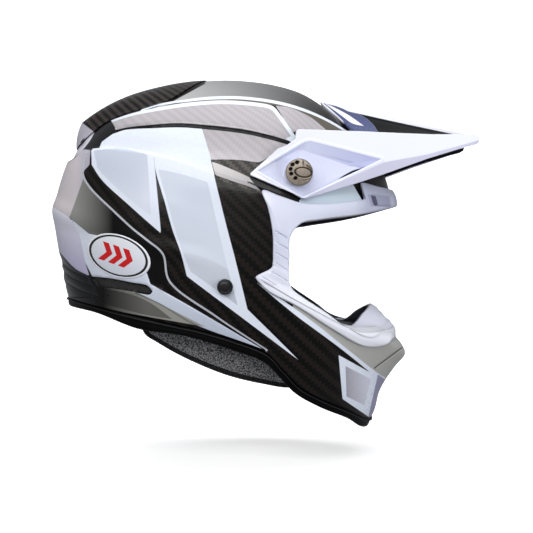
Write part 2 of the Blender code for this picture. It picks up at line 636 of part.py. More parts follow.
# ---------------------------------------------------------------- visor
def make_visor():
    """The peak, drilled for its side screws, with their washers and threaded inserts."""
    tilt = empty("visor_pivot", (PIVOT[0], 0, PIVOT[1]))
    top_rows = []
    for rear, front in zip(VISOR_REAR, VISOR_FRONT):
        t = np.linspace(0, 1, 7)[:, None]
        line = (1 - t) * np.array(rear, float) + t * np.array(front, float)
        top_rows.append(line)
    top = np.stack(top_rows, axis=1)
    nt = top.shape[1]
    high = spline(WING_TOP, 7)[:-1]
    low = spline(WING_LOW, 13)
    high = np.vstack([high, top[:, -1]])
    share = np.linspace(0, 1, 5)[None, :, None]
    wing = (1 - share) * high[:, None] + share * low[:, None]
    for p in wing.reshape(-1, 3):
        if np.hypot(p[0] - POLE[0], p[2] - POLE[1]) < reach(np.arctan2(p[2] - POLE[1], p[0] - POLE[0])):
            p[1] = max(p[1], side_y(p[0], p[2]) + WING_CLEAR)
    top[:, -1] = wing[6:, 0]
    points = np.vstack([top.reshape(-1, 3), wing.reshape(-1, 3)])
    base = top.shape[0] * nt
    faces = grid_faces(7, nt) + [tuple(base + k for k in f) for f in grid_faces(13, 5)]
    mesh = mesh_from("visor", points, faces, (100, 40, 60))
    ob = add_object("visor", mesh, "gloss_white_plastic", tilt)
    mirror_y(ob)
    solidify(ob, VISOR_WALL, inward=False)
    cut(ob, pivot_cutter())
    near = np.hypot(wing[..., 0] - PIVOT[0], wing[..., 2] - PIVOT[1]) < 15
    seat = float(wing[..., 1][near].max()) + VISOR_WALL + WING_SEAT
    for side, word in ((1, "left"), (-1, "right")):
        turned(f"visor_washer_{word}", [(3.6, 1.2), (8.0, 1.2), (8.0, 0), (3.6, 0), (3.6, 1.2)],
               (PIVOT[0], side * seat, PIVOT[1]), (0, side, 0), "black_rubber", tilt, steps=TURNED_STEPS)
        turned(f"visor_screw_{word}",
               [(0, 5.6), (7.5, 5.4), (10.2, 4.6), (10.8, 3.4), (10.8, 1.6), (2.8, 1.6), (2.8, -15),
                (0, -15)], (PIVOT[0], side * seat, PIVOT[1]), (0, side, 0), "titanium", steps=TURNED_STEPS)
        turned(f"visor_insert_{word}", [(3.3, 0), (5.8, 0), (5.8, -6.2), (3.3, -6.2), (3.3, 0)],
               (PIVOT[0], side * (float(side_y(*PIVOT)) - 0.2), PIVOT[1]), (0, side, 0), "steel",
               steps=TURNED_STEPS)


def drill(name, place, direction, radius, length):
    """A cutting cylinder centred at place, along direction."""
    bpy.ops.mesh.primitive_cylinder_add(vertices=24, radius=radius * MM, depth=length * MM)
    ob = bpy.context.object
    ob.name = name
    ob.location = tuple(c * MM for c in place)
    ob.rotation_euler = track(np.array(direction, float))
    for found in list(ob.users_collection):
        found.objects.unlink(ob)
    collection(CUTTERS).objects.link(ob)
    ob.hide_render = True
    ob.display_type = "WIRE"
    return ob


def pivot_cutter():
    found = bpy.data.objects.get("pivot_drill")
    return found or drill("pivot_drill", (PIVOT[0], 0, PIVOT[1]), (0, 1, 0), PIVOT_BORE, CUT_THROUGH)


def cut(ob, cutter):
    mod = ob.modifiers.new("Boolean", "BOOLEAN")
    mod.operation = "DIFFERENCE"
    mod.object = cutter
    mod.solver = "EXACT"


# ---------------------------------------------------------------- chin strap
def strap_path():
    """The long strap's path (y, z) from the left rivet, under the chin, round the rings and back."""
    ring = np.array(RING_AT)

    def local(s, n):
        return tuple(ring + s * STRAP_ALONG + n * STRAP_OUT)

    turn = [local(RING_TURN[0] - RING_TURN[1] * math.sin(a), -RING_TURN[1] * math.cos(a))
            for a in np.linspace(0, math.pi, 7)]
    leg = [(110.5, -13), (110.5, -31), (108, -35.5), (103, -36.5), (70, -36.5), (62, -39), (59.5, -45),
           (58, -62), (50, -82), (34, -96), (18, -101.5), local(58, -1.6), local(42, -4.2), local(29, -7.4)]
    tail = [local(30, 6.8), local(44, 1.8), local(56, 1.4)]
    return leg[:1] + [tuple(p) for p in spline(leg[1:] + turn + tail, 40)]


def short_path():
    """The short strap's path (y, z) from the right rivet to its loop round the rings."""
    ring = np.array(RING_AT)
    loop = [tuple(ring + 5.3 * math.cos(a) * STRAP_ALONG + 5.3 * math.sin(a) * STRAP_OUT)
            for a in np.linspace(-math.pi * 0.62, math.pi * 0.75, 9)]
    leg = [(-110.5, -31), (-108, -35.5), (-103, -36.5), (-70, -36.5), (-62.5, -39), (-60.5, -46),
           (-59.5, -58)]
    return [(-110.5, -13)] + [tuple(p) for p in spline(leg + loop, 28)]


def make_strap():
    """The chin strap with its rings, stud, washers, rivets and covers."""
    x = STRAP_AXIS[0]
    swing = empty("strap_pivot", (x, 0, STRAP_AXIS[1]))
    rivet_drill = drill("rivet_drill", (x, 0, STRAP_AXIS[1]), (0, 1, 0), RIVET_BORE, CUT_THROUGH)
    cut(bpy.data.objects["outer_shell"], rivet_drill)
    for word, path in (("left", strap_path()), ("right", short_path())):
        cut(strap_band(f"chin_strap_{word}", path, "webbing", swing), rivet_drill)
    for side, word in ((1, "left"), (-1, "right")):
        skin = float(side_y(*STRAP_AXIS))
        at = (x, 0, STRAP_AXIS[1])
        turned(f"strap_rivet_{word}",
               [(0, skin + 2.6), (3.4, skin + 2.3), (4.6, skin + 1.2), (4.6, skin + 0.5), (3.0, skin + 0.5),
                (3.0, 108.3), (5.6, 108.3), (5.6, 106.3), (0, 106.3)], at, (0, side, 0), "steel",
               steps=TURNED_STEPS)
        turned(f"rivet_cover_{word}",
               [(0, skin + 4.4), (4.6, skin + 4.0), (6.2, skin + 2.6), (6.4, skin + 0.6), (5.3, skin + 0.6),
                (5.1, skin + 2.2), (3.8, skin + 3.2), (0, skin + 3.4)], at, (0, side, 0), "black_plastic",
               steps=18)
        turned(f"strap_washer_{word}", [(3.5, 113.4), (9.5, 113.4), (9.5, 112), (3.5, 112), (3.5, 113.4)], at,
               (0, side, 0), "steel", swing, steps=18)
    for word, n0, lean in (("inner", -1.9, -0.05), ("outer", 1.9, 0.05)):
        d_ring(f"d_ring_{word}", n0, lean, swing)
    at = np.array(RING_AT) + STRAP_SNAP_AT * STRAP_ALONG + 3.6 * STRAP_OUT
    turned("strap_snap", [(0, 3), (5, 2.6), (6.5, 1.2), (6.5, 0), (0, 0)], (x, at[0], at[1]),
           (0, STRAP_OUT[0], STRAP_OUT[1]), "black_plastic", swing, steps=TURNED_STEPS)


def d_ring(name, n0, lean, parent):
    """A wire ring shaped like a D, its straight bar in the short strap's loop."""
    half, long = RING_SIZE
    flat = [(half, 0)]
    flat += [(half * math.cos(a), long - half + half * math.sin(a)) for a in np.linspace(0, math.pi, 13)]
    flat += [(-half, 0)]
    curve = bpy.data.curves.new(name, "CURVE")
    curve.dimensions = "3D"
    curve.bevel_depth = RING_WIRE * MM
    curve.bevel_resolution = 2
    line = curve.splines.new("POLY")
    line.points.add(len(flat) - 1)
    for point, (across, s) in zip(line.points, flat):
        yz = np.array(RING_AT) + s * STRAP_ALONG + (n0 + lean * s) * STRAP_OUT
        point.co = ((STRAP_AXIS[0] + across) * MM, yz[0] * MM, yz[1] * MM, 1)
    line.use_cyclic_u = True
    return add_object(name, curve, "steel", parent)


def main():
    clear_scene()
    make_shell()
    make_rim_trim()
    make_port_trim()
    make_foam()
    make_fin()
    make_vents_and_badges()
    make_mouth_vent()
    make_pads()
    make_visor()
    cut(bpy.data.objects["outer_shell"], pivot_cutter())
    foam_drill = drill("foam_drill", (PIVOT[0], 0, PIVOT[1]), (0, 1, 0), FOAM_BORE, CUT_THROUGH)
    cut(bpy.data.objects["eps_liner"], foam_drill)
    make_strap()


main()
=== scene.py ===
"""Motocross helmet: the visible pieces and their materials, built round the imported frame.

Lengths in the constants are millimetres in the part's own frame: +X forward, +Y to the wearer's left,
+Z up, origin at the head reference point. Paint is laid out on the side elevation, (x, z).
"""

import math
from functools import cache

import bmesh
import bpy
import numpy as np
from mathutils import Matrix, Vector

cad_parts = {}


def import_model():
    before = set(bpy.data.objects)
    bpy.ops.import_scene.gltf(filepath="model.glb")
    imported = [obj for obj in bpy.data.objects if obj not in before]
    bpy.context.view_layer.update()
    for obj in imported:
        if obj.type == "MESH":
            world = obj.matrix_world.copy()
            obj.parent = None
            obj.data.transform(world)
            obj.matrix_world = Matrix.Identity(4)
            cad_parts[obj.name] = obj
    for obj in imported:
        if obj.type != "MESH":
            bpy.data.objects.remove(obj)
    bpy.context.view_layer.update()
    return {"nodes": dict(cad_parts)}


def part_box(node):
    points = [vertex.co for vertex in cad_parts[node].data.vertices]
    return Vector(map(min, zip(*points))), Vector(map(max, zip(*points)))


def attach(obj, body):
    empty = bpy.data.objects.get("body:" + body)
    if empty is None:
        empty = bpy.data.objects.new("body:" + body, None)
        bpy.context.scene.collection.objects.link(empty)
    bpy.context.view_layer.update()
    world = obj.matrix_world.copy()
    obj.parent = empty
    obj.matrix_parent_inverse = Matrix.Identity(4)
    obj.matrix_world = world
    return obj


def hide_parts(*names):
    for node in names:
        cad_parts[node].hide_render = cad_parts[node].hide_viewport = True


MM = 0.001
MERGE = 0.00005                   # points this close in metres are joined on the mid-plane

# ---------------------------------------------------------------- the skin's driving dimensions
POLE = (8.0, 10.0)
HALF_WIDTH = 125.0
ROUNDNESS = 2.3
NOSE_TAPER = 0.25
TAPER_START, TAPER_LENGTH = 50.0, 110.0
END_HOLD = 6

SILHOUETTE = [
    (153, 10), (150, 28), (146.5, 43), (143, 54), (138, 69.5), (126, 91), (110, 109), (90, 124.5), (66, 139.5),
    (41, 147), (20, 150), (0, 151), (-20, 150), (-38, 147), (-58, 141.5), (-79, 133.5), (-97, 123.5),
    (-113, 111), (-126, 97), (-135, 82), (-142, 67), (-147, 52), (-150.5, 38), (-148, 18),
    (-143.5, -8), (-140, -26), (-135, -45), (-122, -85), (-82, -128), (-20, -156), (40, -170), (90, -167),
    (117, -155), (128.5, -139), (134, -120), (139, -110.5), (147.5, -98.5), (156.5, -87), (154, -79.5),
    (147, -70), (145, -62), (146, -42), (150, -15),
]
SHELL_PORT = [
    (146, 46.5), (115, 38.5), (74, 33), (56, 31), (48, 20), (47, 0), (46.5, -16), (45.5, -30),
    (59, -41.5), (84, -55), (98, -65), (114, -70), (131, -70.5), (147.5, -67),
]
SHELL_RIM = [
    (-137.5, -36), (-104.4, -42.4), (-69, -49.2), (-36, -56.5), (-18, -60.2), (12, -69), (36, -79),
    (48, -92), (62, -107), (82, -119), (104, -130), (120, -139.5), (128, -141),
]
TRIM_RIM = [
    (-134.6, -44.5), (-104, -48.5), (-68, -61), (-30, -66), (10, -78), (33, -87), (46, -100),
    (58, -113), (78, -125.5), (103, -138), (115, -147.5), (121, -150),
]
PORT_TRIM_OUTER = [
    (143.4, 54.6), (127, 56.6), (112.6, 58.6), (111.6, 57.6), (113, 51), (115, 45.6), (106, 43), (66.4, 39.6),
    (46, 45.5), (31.5, 50), (36, 36), (39.6, 17.4), (40, 0),
    (39.7, -8), (38.4, -11.2), (33, -14.2), (27.4, -17.0), (26.4, -18.3), (27.2, -20), (36.5, -29.3), (58.4, -41),
    (87, -60), (112, -74.5), (125, -76.5), (134, -75.2), (141.5, -71.6), (147.5, -69),
]
PORT_TRIM_INNER = [
    (147.2, 41), (115, 33), (78, 27.5), (62, 24), (54, 14), (53, -3), (52.6, -17), (55, -27),
    (64, -34.5), (84, -48), (97, -58), (113, -63.5), (131, -64.5), (146.5, -62.5),
]
SHELL_WALL = 3.0
COLUMNS = (90, 90, 108, 126)      # the shell's columns between its section marks
ROWS, INNER_ROWS = 150, 22


def spline(points, count, closed=False):
    """count points, evenly spaced by length, on a smooth curve through points of any dimension."""
    p = np.array(points, float)
    if closed:
        p = np.vstack([p[-1], p, p[0], p[1]])
    else:
        p = np.vstack([2 * p[0] - p[1], p, 2 * p[-1] - p[-2]])
    knots = np.concatenate([[0], np.cumsum(np.sqrt(np.linalg.norm(np.diff(p, axis=0), axis=1)))])
    dense = []
    for i in range(1, len(p) - 2):
        t0, t1, t2, t3 = knots[i - 1:i + 3]
        for t in np.linspace(t1, t2, 24, endpoint=False):
            a1 = p[i - 1] * (t1 - t) / (t1 - t0) + p[i] * (t - t0) / (t1 - t0)
            a2 = p[i] * (t2 - t) / (t2 - t1) + p[i + 1] * (t - t1) / (t2 - t1)
            a3 = p[i + 1] * (t3 - t) / (t3 - t2) + p[i + 2] * (t - t2) / (t3 - t2)
            b1 = a1 * (t2 - t) / (t2 - t0) + a2 * (t - t0) / (t2 - t0)
            b2 = a2 * (t3 - t) / (t3 - t1) + a3 * (t - t1) / (t3 - t1)
            dense.append(b1 * (t2 - t) / (t2 - t1) + b2 * (t - t1) / (t2 - t1))
    dense.append(p[-2])
    return resample(np.array(dense), count)


def resample(line, count):
    """count points, evenly spaced by length, along a polyline."""
    length = np.concatenate([[0], np.cumsum(np.linalg.norm(np.diff(line, axis=0), axis=1))])
    at = np.linspace(0, length[-1], count)
    return np.stack([np.interp(at, length, line[:, k]) for k in range(line.shape[1])], axis=1)


def silhouette_table():
    """Angles round the pole and the outline's distance from it at each, over three turns."""
    ring = spline(SILHOUETTE, 1441, closed=True) - np.array(POLE)
    angle = np.arctan2(ring[:, 1], ring[:, 0])
    order = np.argsort(angle)
    angle, reach = angle[order], np.linalg.norm(ring, axis=1)[order]
    turn = 2 * math.pi
    return np.concatenate([angle - turn, angle, angle + turn]), np.tile(reach, 3)


ANGLES, REACHES = silhouette_table()


def reach(angle):
    return np.interp(angle, ANGLES, REACHES)


def half_breadth(x):
    """The skin's widest half breadth at x: full at the ears, less towards the nose."""
    s = np.clip((x - TAPER_START) / TAPER_LENGTH, 0, 1)
    return HALF_WIDTH * (1 - NOSE_TAPER * s * s * (3 - 2 * s))


def to_disc(points):
    """Side-view points (x, z) as points of the unit disc whose rim is the mid-plane outline."""
    p = np.asarray(points, float) - np.array(POLE)
    angle = np.arctan2(p[:, 1], p[:, 0])
    share = np.clip(np.linalg.norm(p, axis=1) / reach(angle), 0, 1)
    t = np.arcsin(share) * 2 / math.pi
    return np.stack([t * np.cos(angle), t * np.sin(angle)], axis=1)


def from_disc(q, depth):
    """Points (x, y, z) of the left half of the skin sunk by depth, for disc points q."""
    t = np.clip(np.linalg.norm(q, axis=-1), 0, 1)
    angle = np.arctan2(q[..., 1], q[..., 0])
    share = np.sin(t * math.pi / 2)
    r = share * (reach(angle) - depth)
    x = POLE[0] + r * np.cos(angle)
    z = POLE[1] + r * np.sin(angle)
    y = (half_breadth(x) - depth) * np.clip(1 - share ** ROUNDNESS, 0, 1) ** (1 / ROUNDNESS)
    y = np.where(t > 0.9999, 0.0, y)
    return np.stack([x, y, z], axis=-1)


def side_y(x, z, depth=0.0):
    """How far out from the mid-plane the skin, sunk by depth, lies at a side-view point."""
    dx, dz = x - POLE[0], z - POLE[1]
    share = np.clip(np.hypot(dx, dz) / (reach(np.arctan2(dz, dx)) - depth), 0, 1)
    return (half_breadth(x) - depth) * (1 - share ** ROUNDNESS) ** (1 / ROUNDNESS)


def edge_curve(points, count, mid_ends=(True, True)):
    """A side-view curve in the disc, its ends moved onto the mid-plane where mid_ends says so."""
    q = to_disc(spline(points, 200))
    for end, on_mid in zip((0, -1), mid_ends):
        if on_mid:
            q[end] /= np.linalg.norm(q[end])
    return resample(q, count)


def snapped(q):
    """The same disc curve with both ends on the mid-plane."""
    q = np.array(q)
    for end in (0, -1):
        q[end] /= np.linalg.norm(q[end])
    return q


def mid_curve(q0, q1, count, turn):
    """The mid-plane outline from disc point q0 to q1, going anticlockwise for turn 1."""
    a0, a1 = math.atan2(q0[1], q0[0]), math.atan2(q1[1], q1[0])
    while turn * (a1 - a0) < 0:
        a1 += turn * 2 * math.pi
    a = np.linspace(a0, a1, count)
    return np.stack([np.cos(a), np.sin(a)], axis=1)


def coons(inner, outer, left, right):
    """A grid in the disc from curve inner to curve outer, its end columns on curves left and right."""
    u = np.linspace(0, 1, len(inner))[:, None, None]
    v = np.linspace(0, 1, len(left))[None, :, None]
    ruled = (1 - v) * inner[:, None] + v * outer[:, None]
    at_left = (1 - u) ** END_HOLD * (left[None] - ruled[:1])
    at_right = u ** END_HOLD * (right[None] - ruled[-1:])
    return ruled + at_left + at_right


def in_sections(curve, marks, counts):
    """The curve cut at the points nearest to marks and resampled with its own count for each section."""
    cuts = [0] + [int(np.argmin(np.linalg.norm(curve - m, axis=1))) for m in marks] + [len(curve) - 1]
    parts = []
    for k, count in enumerate(counts):
        part = resample(curve[cuts[k]:cuts[k + 1] + 1], count + 1)
        parts.append(part if k == 0 else part[1:])
    return np.vstack(parts)


# ---------------------------------------------------------------- side elevation: distances that paint and relief use
VIEW_X, VIEW_REACH = 35.2, 1200.0     # the elevation is drawn in perspective, from this far off the mid-plane
FAR = 8.0                             # distances to paint edges are kept up to this many mm


def elevation(points):
    """Side-elevation place (x, z) of points (..., 3) in mm, the same for both sides."""
    p = np.asarray(points, float)
    grow = VIEW_REACH / (VIEW_REACH - np.abs(p[..., 1]))
    return np.stack([VIEW_X + (p[..., 0] - VIEW_X) * grow, p[..., 2] * grow], axis=-1)


def smooth(low, high, value):
    s = np.clip((value - low) / (high - low), 0, 1)
    return s * s * (3 - 2 * s)


def along(line, e):
    """Distance from places e (n, 2) to a polyline, the side they're on (left of its run is positive) and the
    share of its length where the nearest point lies."""
    line = np.asarray(line, float)
    steps = np.linalg.norm(np.diff(line, axis=0), axis=1)
    start = np.concatenate([[0], np.cumsum(steps)])
    best = np.full(len(e), 1e9)
    side = np.ones(len(e))
    share = np.zeros(len(e))
    for k, (p, q) in enumerate(zip(line[:-1], line[1:])):
        d = q - p
        t = np.clip(((e - p) @ d) / max(d @ d, 1e-9), 0, 1)
        v = e - (p + t[:, None] * d)
        away = np.linalg.norm(v, axis=1)
        nearer = away < best - 1e-9
        best = np.where(nearer, away, best)
        side = np.where(nearer, np.sign(d[0] * v[:, 1] - d[1] * v[:, 0]), side)
        share = np.where(nearer, (start[k] + t * steps[k]) / start[-1], share)
    return best, side, share


def inside(ring, e):
    """Which places lie inside a closed polygon."""
    ring = np.asarray(ring, float)
    hit = np.zeros(len(e), bool)
    for p, q in zip(ring, np.roll(ring, -1, axis=0)):
        crosses = (p[1] > e[:, 1]) != (q[1] > e[:, 1])
        if p[1] != q[1]:
            hit ^= crosses & (e[:, 0] < p[0] + (e[:, 1] - p[1]) * (q[0] - p[0]) / (q[1] - p[1]))
    return hit


def near(line, e, margin):
    """Which places lie inside a line's bounding box grown by margin."""
    low, high = np.min(line, axis=0) - margin, np.max(line, axis=0) + margin
    return ((e > low) & (e < high)).all(axis=1)


def region(runs, e):
    """Distance in mm to the outline made of curved runs that meet in corners, positive inside."""
    ring = outline(runs)
    closed = np.vstack([ring, ring[:1]])
    out = np.full(len(e), -FAR)
    pick = near(ring, e, FAR)
    out[pick] = along(closed, e[pick])[0] * np.where(inside(ring, e[pick]), 1, -1)
    return out


def outline(runs):
    """One closed polygon from runs of points: each is a smooth curve that ends where the next one starts."""
    parts = []
    for run in runs:
        curve = spline(run, 6 * len(run)) if len(run) > 2 else np.array(run, float)
        parts.append(curve[:-1])
    return np.vstack(parts)


def band(points, e, taper=(0.0, 0.0)):
    """Signed distance from a smooth line, growing faster where taper thins its stripe towards the ends."""
    line = spline(points, 8 * len(points)) if len(points) > 2 else np.array(points, float)
    out = np.full(len(e), FAR)
    pick = near(line, e, FAR)
    away, side, share = along(line, e[pick])
    thin = (1 - taper[0] * smooth(0.35, 0, share)) * (1 - taper[1] * smooth(0.65, 1, share))
    side = np.where((share < 1e-6) | (share > 1 - 1e-6), 1, side)
    out[pick] = away * side / thin
    return out


def chain(*runs):
    """A closed outline of smooth runs, each starting where the one before it ends. A bare point is a
    straight run to it."""
    runs = [[run] if isinstance(run, tuple) else run for run in runs]
    return [[runs[k - 1][-1], *run] for k, run in enumerate(runs)]


# ---------------------------------------------------------------- meshes
def quads(nu, nv, wrap=False):
    """Faces of a grid of nu columns of nv points. wrap joins each column's last point to its first."""
    return [(i * nv + j, (i + 1) * nv + j, (i + 1) * nv + (j + 1) % nv, i * nv + (j + 1) % nv)
            for i in range(nu - 1) for j in range(nv if wrap else nv - 1)]


def fan(spokes, n):
    """Faces of a closed turned body: point 0 at its middle, then n points down each spoke."""
    faces = []
    for i in range(spokes):
        k, m = 1 + i * n, 1 + ((i + 1) % spokes) * n
        faces.append((0, k, m))
        faces += [(k + j, k + j + 1, m + j + 1, m + j) for j in range(n - 1)]
    return faces + [tuple(1 + i * n + n - 1 for i in range(spokes))]


def add_object(name, points, faces):
    """A smooth-shaded object from points in mm."""
    mesh = bpy.data.meshes.new(name)
    mesh.from_pydata((np.asarray(points) * MM).tolist(), [], faces)
    mesh.shade_smooth()
    ob = bpy.data.objects.new(name, mesh)
    bpy.context.scene.collection.objects.link(ob)
    return ob


def mirror(ob):
    """The left half repeated on the right, joined on the mid-plane."""
    mod = ob.modifiers.new("Mirror", "MIRROR")
    mod.use_axis = (False, True, False)
    mod.merge_threshold = MERGE
    return ob


def half_mesh(name, points, faces):
    """A mirrored object from one half in mm, its faces turned outward by signed volume."""
    ob = add_object(name, points, faces)
    tri = np.array([(f[0], f[1], f[2]) for f in faces] + [(f[0], f[2], f[3]) for f in faces if len(f) == 4])
    p = np.asarray(points)[tri]
    if np.einsum("ij,ij->i", p[:, 0], np.cross(p[:, 1], p[:, 2])).sum() < 0:
        ob.data.flip_normals()
    return mirror(ob)


def recalc(ob, cap=()):
    """Turns faces outward, after closing one end with a face on the points of cap."""
    bm = bmesh.new()
    bm.from_mesh(ob.data)
    if cap:
        bm.verts.ensure_lookup_table()
        bm.faces.new([bm.verts[k] for k in cap])
    bmesh.ops.recalc_face_normals(bm, faces=bm.faces)
    bm.to_mesh(ob.data)
    bm.free()
    return ob


def single_mesh(name, points, faces):
    """A whole object from points in mm, its faces turned outward."""
    return recalc(add_object(name, points, faces))


def mark(ob, name, values, kind="FLOAT"):
    """Stores one value, or one vector, for each point."""
    layer = ob.data.attributes.new(name, kind, "POINT")
    flat = np.asarray(values, np.float32).ravel()
    layer.data.foreach_set("value" if kind == "FLOAT" else "vector", flat)


def mark_flat(ob, name, places, scale=1.0):
    """Stores a two-part place for each point, as a vector."""
    flat = np.asarray(places).reshape(-1, 2) * scale
    mark(ob, name, np.stack([flat[:, 0], flat[:, 1], 0 * flat[:, 0]], axis=1), "FLOAT_VECTOR")


# ---------------------------------------------------------------- materials: node helpers
class Graph:
    """A material's nodes, added by small calls. A value may be a number, a tuple or a socket."""

    def __init__(self, name):
        self.material = bpy.data.materials.new(name)
        self.material.use_nodes = True
        self.tree = self.material.node_tree
        self.shader = self.tree.nodes["Principled BSDF"]

    def put(self, socket, value):
        if isinstance(value, bpy.types.NodeSocket):
            self.tree.links.new(value, socket)
        elif value is not None:
            socket.default_value = value

    def node(self, kind, inputs=(), **settings):
        made = self.tree.nodes.new(kind)
        for key, value in settings.items():
            setattr(made, key, value)
        for key, value in dict(inputs).items():
            self.put(made.inputs[key], value)
        return made

    def math(self, operation, a, b=0.0, c=0.0):
        made = self.node("ShaderNodeMath", {0: a, 1: b, 2: c}, operation=operation)
        return made.outputs[0]

    def times(self, a, b):
        return self.math("MULTIPLY", a, b)

    def plus(self, a, b):
        return self.math("ADD", a, b)

    def minus(self, a, b):
        return self.math("SUBTRACT", a, b)

    def size(self, a):
        return self.math("ABSOLUTE", a)

    def wave(self, a, rate):
        """The sine of a times rate."""
        return self.math("SINE", self.math("MULTIPLY", a, rate))

    def span(self, value, low, high, to_low=0.0, to_high=1.0):
        """value mapped from low..high to to_low..to_high, clamped."""
        made = self.node("ShaderNodeMapRange", {"Value": value, "From Min": low, "From Max": high,
                                                "To Min": to_low, "To Max": to_high})
        return made.outputs["Result"]

    def mix(self, factor, a, b, kind="MIX"):
        made = self.node("ShaderNodeMix", data_type="RGBA", blend_type=kind)
        self.put(made.inputs["Factor"], factor)
        for socket, value in ((made.inputs[6], a), (made.inputs[7], b)):
            self.put(socket, (*value, 1) if isinstance(value, tuple) and len(value) == 3 else value)
        return made.outputs[2]

    def ramp(self, value, low, high, a, b):
        """Colour a where value is low, running to colour b where it is high."""
        return self.mix(self.span(value, low, high), a, b)

    def blend(self, factor, a, b):
        made = self.node("ShaderNodeMix", data_type="FLOAT")
        for key, value in ((0, factor), (2, a), (3, b)):
            self.put(made.inputs[key], value)
        return made.outputs[0]

    def attribute(self, name, output="Fac"):
        return self.node("ShaderNodeAttribute", attribute_name=name).outputs[output]

    def place(self, scale=(1000.0, 1000.0, 1000.0)):
        """Object coordinates, in mm by default."""
        where = self.node("ShaderNodeTexCoord").outputs["Object"]
        return self.node("ShaderNodeMapping", {"Vector": where, "Scale": scale}).outputs[0]

    def noise(self, scale, vector, detail=3.0, rough=0.55, distort=0.0):
        made = self.node("ShaderNodeTexNoise", {"Vector": vector, "Scale": scale, "Detail": detail,
                                                "Roughness": rough, "Distortion": distort})
        return made.outputs["Fac"]

    def voronoi(self, scale, vector, feature="F1", output="Distance", randomness=1.0):
        made = self.node("ShaderNodeTexVoronoi", {"Vector": vector, "Scale": scale, "Randomness": randomness},
                         feature=feature)
        return made.outputs[output]

    def mask_of(self, name, soft=0.16):
        """0 outside a marked region, 1 inside, with an edge twice soft mm wide."""
        return self.span(self.attribute(name), -soft, soft)

    def axes(self, vector):
        return self.node("ShaderNodeSeparateXYZ", {"Vector": vector}).outputs

    def bump(self, height, distance, strength=1.0):
        made = self.node("ShaderNodeBump", {"Height": height, "Distance": distance, "Strength": strength})
        return made.outputs["Normal"]

    def finish(self, **inputs):
        """Sets the shader's inputs, named with underscores for spaces."""
        for key, value in inputs.items():
            name = key.replace("_", " ")
            if isinstance(value, tuple) and len(value) == 3 and name != "Normal":
                value = (*value, 1)
            self.put(self.shader.inputs[name], value)
        return self.material


def srgb(r, g, b):
    """A display colour, 0 to 255, as linear light."""
    def linear(c):
        c = c / 255
        return c / 12.92 if c <= 0.04045 else ((c + 0.055) / 1.055) ** 2.4
    return linear(r), linear(g), linear(b)


def weave_of(g, vector, tow):
    """2 x 2 twill: (share of warp on top 0/1, height 0..1, fibre lines 0..1) in units of tow mm."""
    scaled = g.node("ShaderNodeMapping", {"Vector": vector, "Scale": (1 / tow, 1 / tow, 1 / tow)}).outputs[0]
    axes = g.axes(scaled)
    u, v = axes[0], axes[1]
    cell = g.math("ADD", g.math("FLOOR", u), g.math("FLOOR", v))
    phase = g.math("FLOORED_MODULO", cell, 4.0)
    warp = g.math("LESS_THAN", phase, 1.5)
    across_u = g.math("ABSOLUTE", g.math("SUBTRACT", g.math("FRACT", u), 0.5))
    across_v = g.math("ABSOLUTE", g.math("SUBTRACT", g.math("FRACT", v), 0.5))
    across = g.blend(warp, across_v, across_u)
    height = g.math("SUBTRACT", 1.0, g.math("MULTIPLY", g.math("MULTIPLY", across, across), 4.0))
    lines_u = g.math("FRACT", g.math("MULTIPLY", u, 9.0))
    lines_v = g.math("FRACT", g.math("MULTIPLY", v, 9.0))
    lines = g.math("ABSOLUTE", g.math("SUBTRACT", g.blend(warp, lines_v, lines_u), 0.5))
    return warp, height, lines


class Paint:
    """Layers of paint over a base: colour, and (roughness, metal, share of woven fibre that shows)."""

    def __init__(self, graph, colour, finish):
        self.g = graph
        self.colour, self.finish = colour, finish

    def lay(self, mask, colour, roughness=0.28, metal=0.0, weave=0.0):
        self.colour = self.g.mix(mask, self.colour, colour)
        self.finish = self.g.mix(mask, self.finish, (roughness, metal, weave))

    def fill(self, name, colour, *finish):
        self.lay(self.mask(name), colour, *finish)

    def mask(self, name):
        return self.g.mask_of(name)

    def stripe(self, name, half, soft=0.16):
        away = self.g.size(self.g.attribute(name))
        close = self.g.span(self.g.attribute(name + "_reach"), half + 2.2, half + 1.6)
        return self.g.math("MULTIPLY", close, self.g.span(away, half + soft, half - soft))

# ---------------------------------------------------------------- shell: relief and paint layout
# Places are in mm in the side elevation: forward, then up.
STRIPE_OUTER = [(-75.7, 126.3), (-58.1, 131.6), (-37.8, 134.6), (-18.5, 136.8), (1.8, 137.6), (17.6, 137),
                (39.6, 134.2), (58.1, 129.9), (74.8, 124.1), (91.5, 116.2), (105.6, 107.8)]
STRIPE_INNER = [(-107.4, 114.8), (-84.5, 122.3), (-66.9, 126.3), (-43.3, 130.4), (-19.7, 132.9), (-0.9, 133.6),
                (21.5, 132.2), (36.5, 129.9), (41.2, 127.9), (44.6, 123.6), (50.6, 115.6), (59.7, 102.1)]
GROOVE = [(-100.3, 107.8), (-86.2, 110.6), (-66.9, 112.1), (-43.3, 113.3), (-19.7, 111.8), (15.6, 107.7),
          (39.2, 102.4), (56.8, 97.2)]
GROOVE_END = [(56.8, 97.2), (63.9, 102.4)]
SILVER_SLOT = [(17.5, 63.9), (25, 60.9), (32.5, 57.2)]
PINSTRIPE = [(-123.2, 90.6), (-126.7, 73.9), (-125.4, 66.9), (-119.1, 57.2), (-100.3, 38.7), (-81.8, 21.6),
             (-69.5, 11.9), (-56, 0), (-50.3, -23.8), (-9.7, -54.6), (36.1, -84.8)]
CREASE = [(-163.7, 72.2), (-146.1, 78.3), (-136, 82.7), (-126.7, 89.3), (-113.5, 93.3), (-98.6, 92.8),
          (-70.4, 89.1), (-42.2, 82.5), (-15, 73), (7.9, 65.1), (31.7, 56.3), (56.3, 48.4)]
CHIN_SEAM = [(130.2, -100.5), (155, -82)]
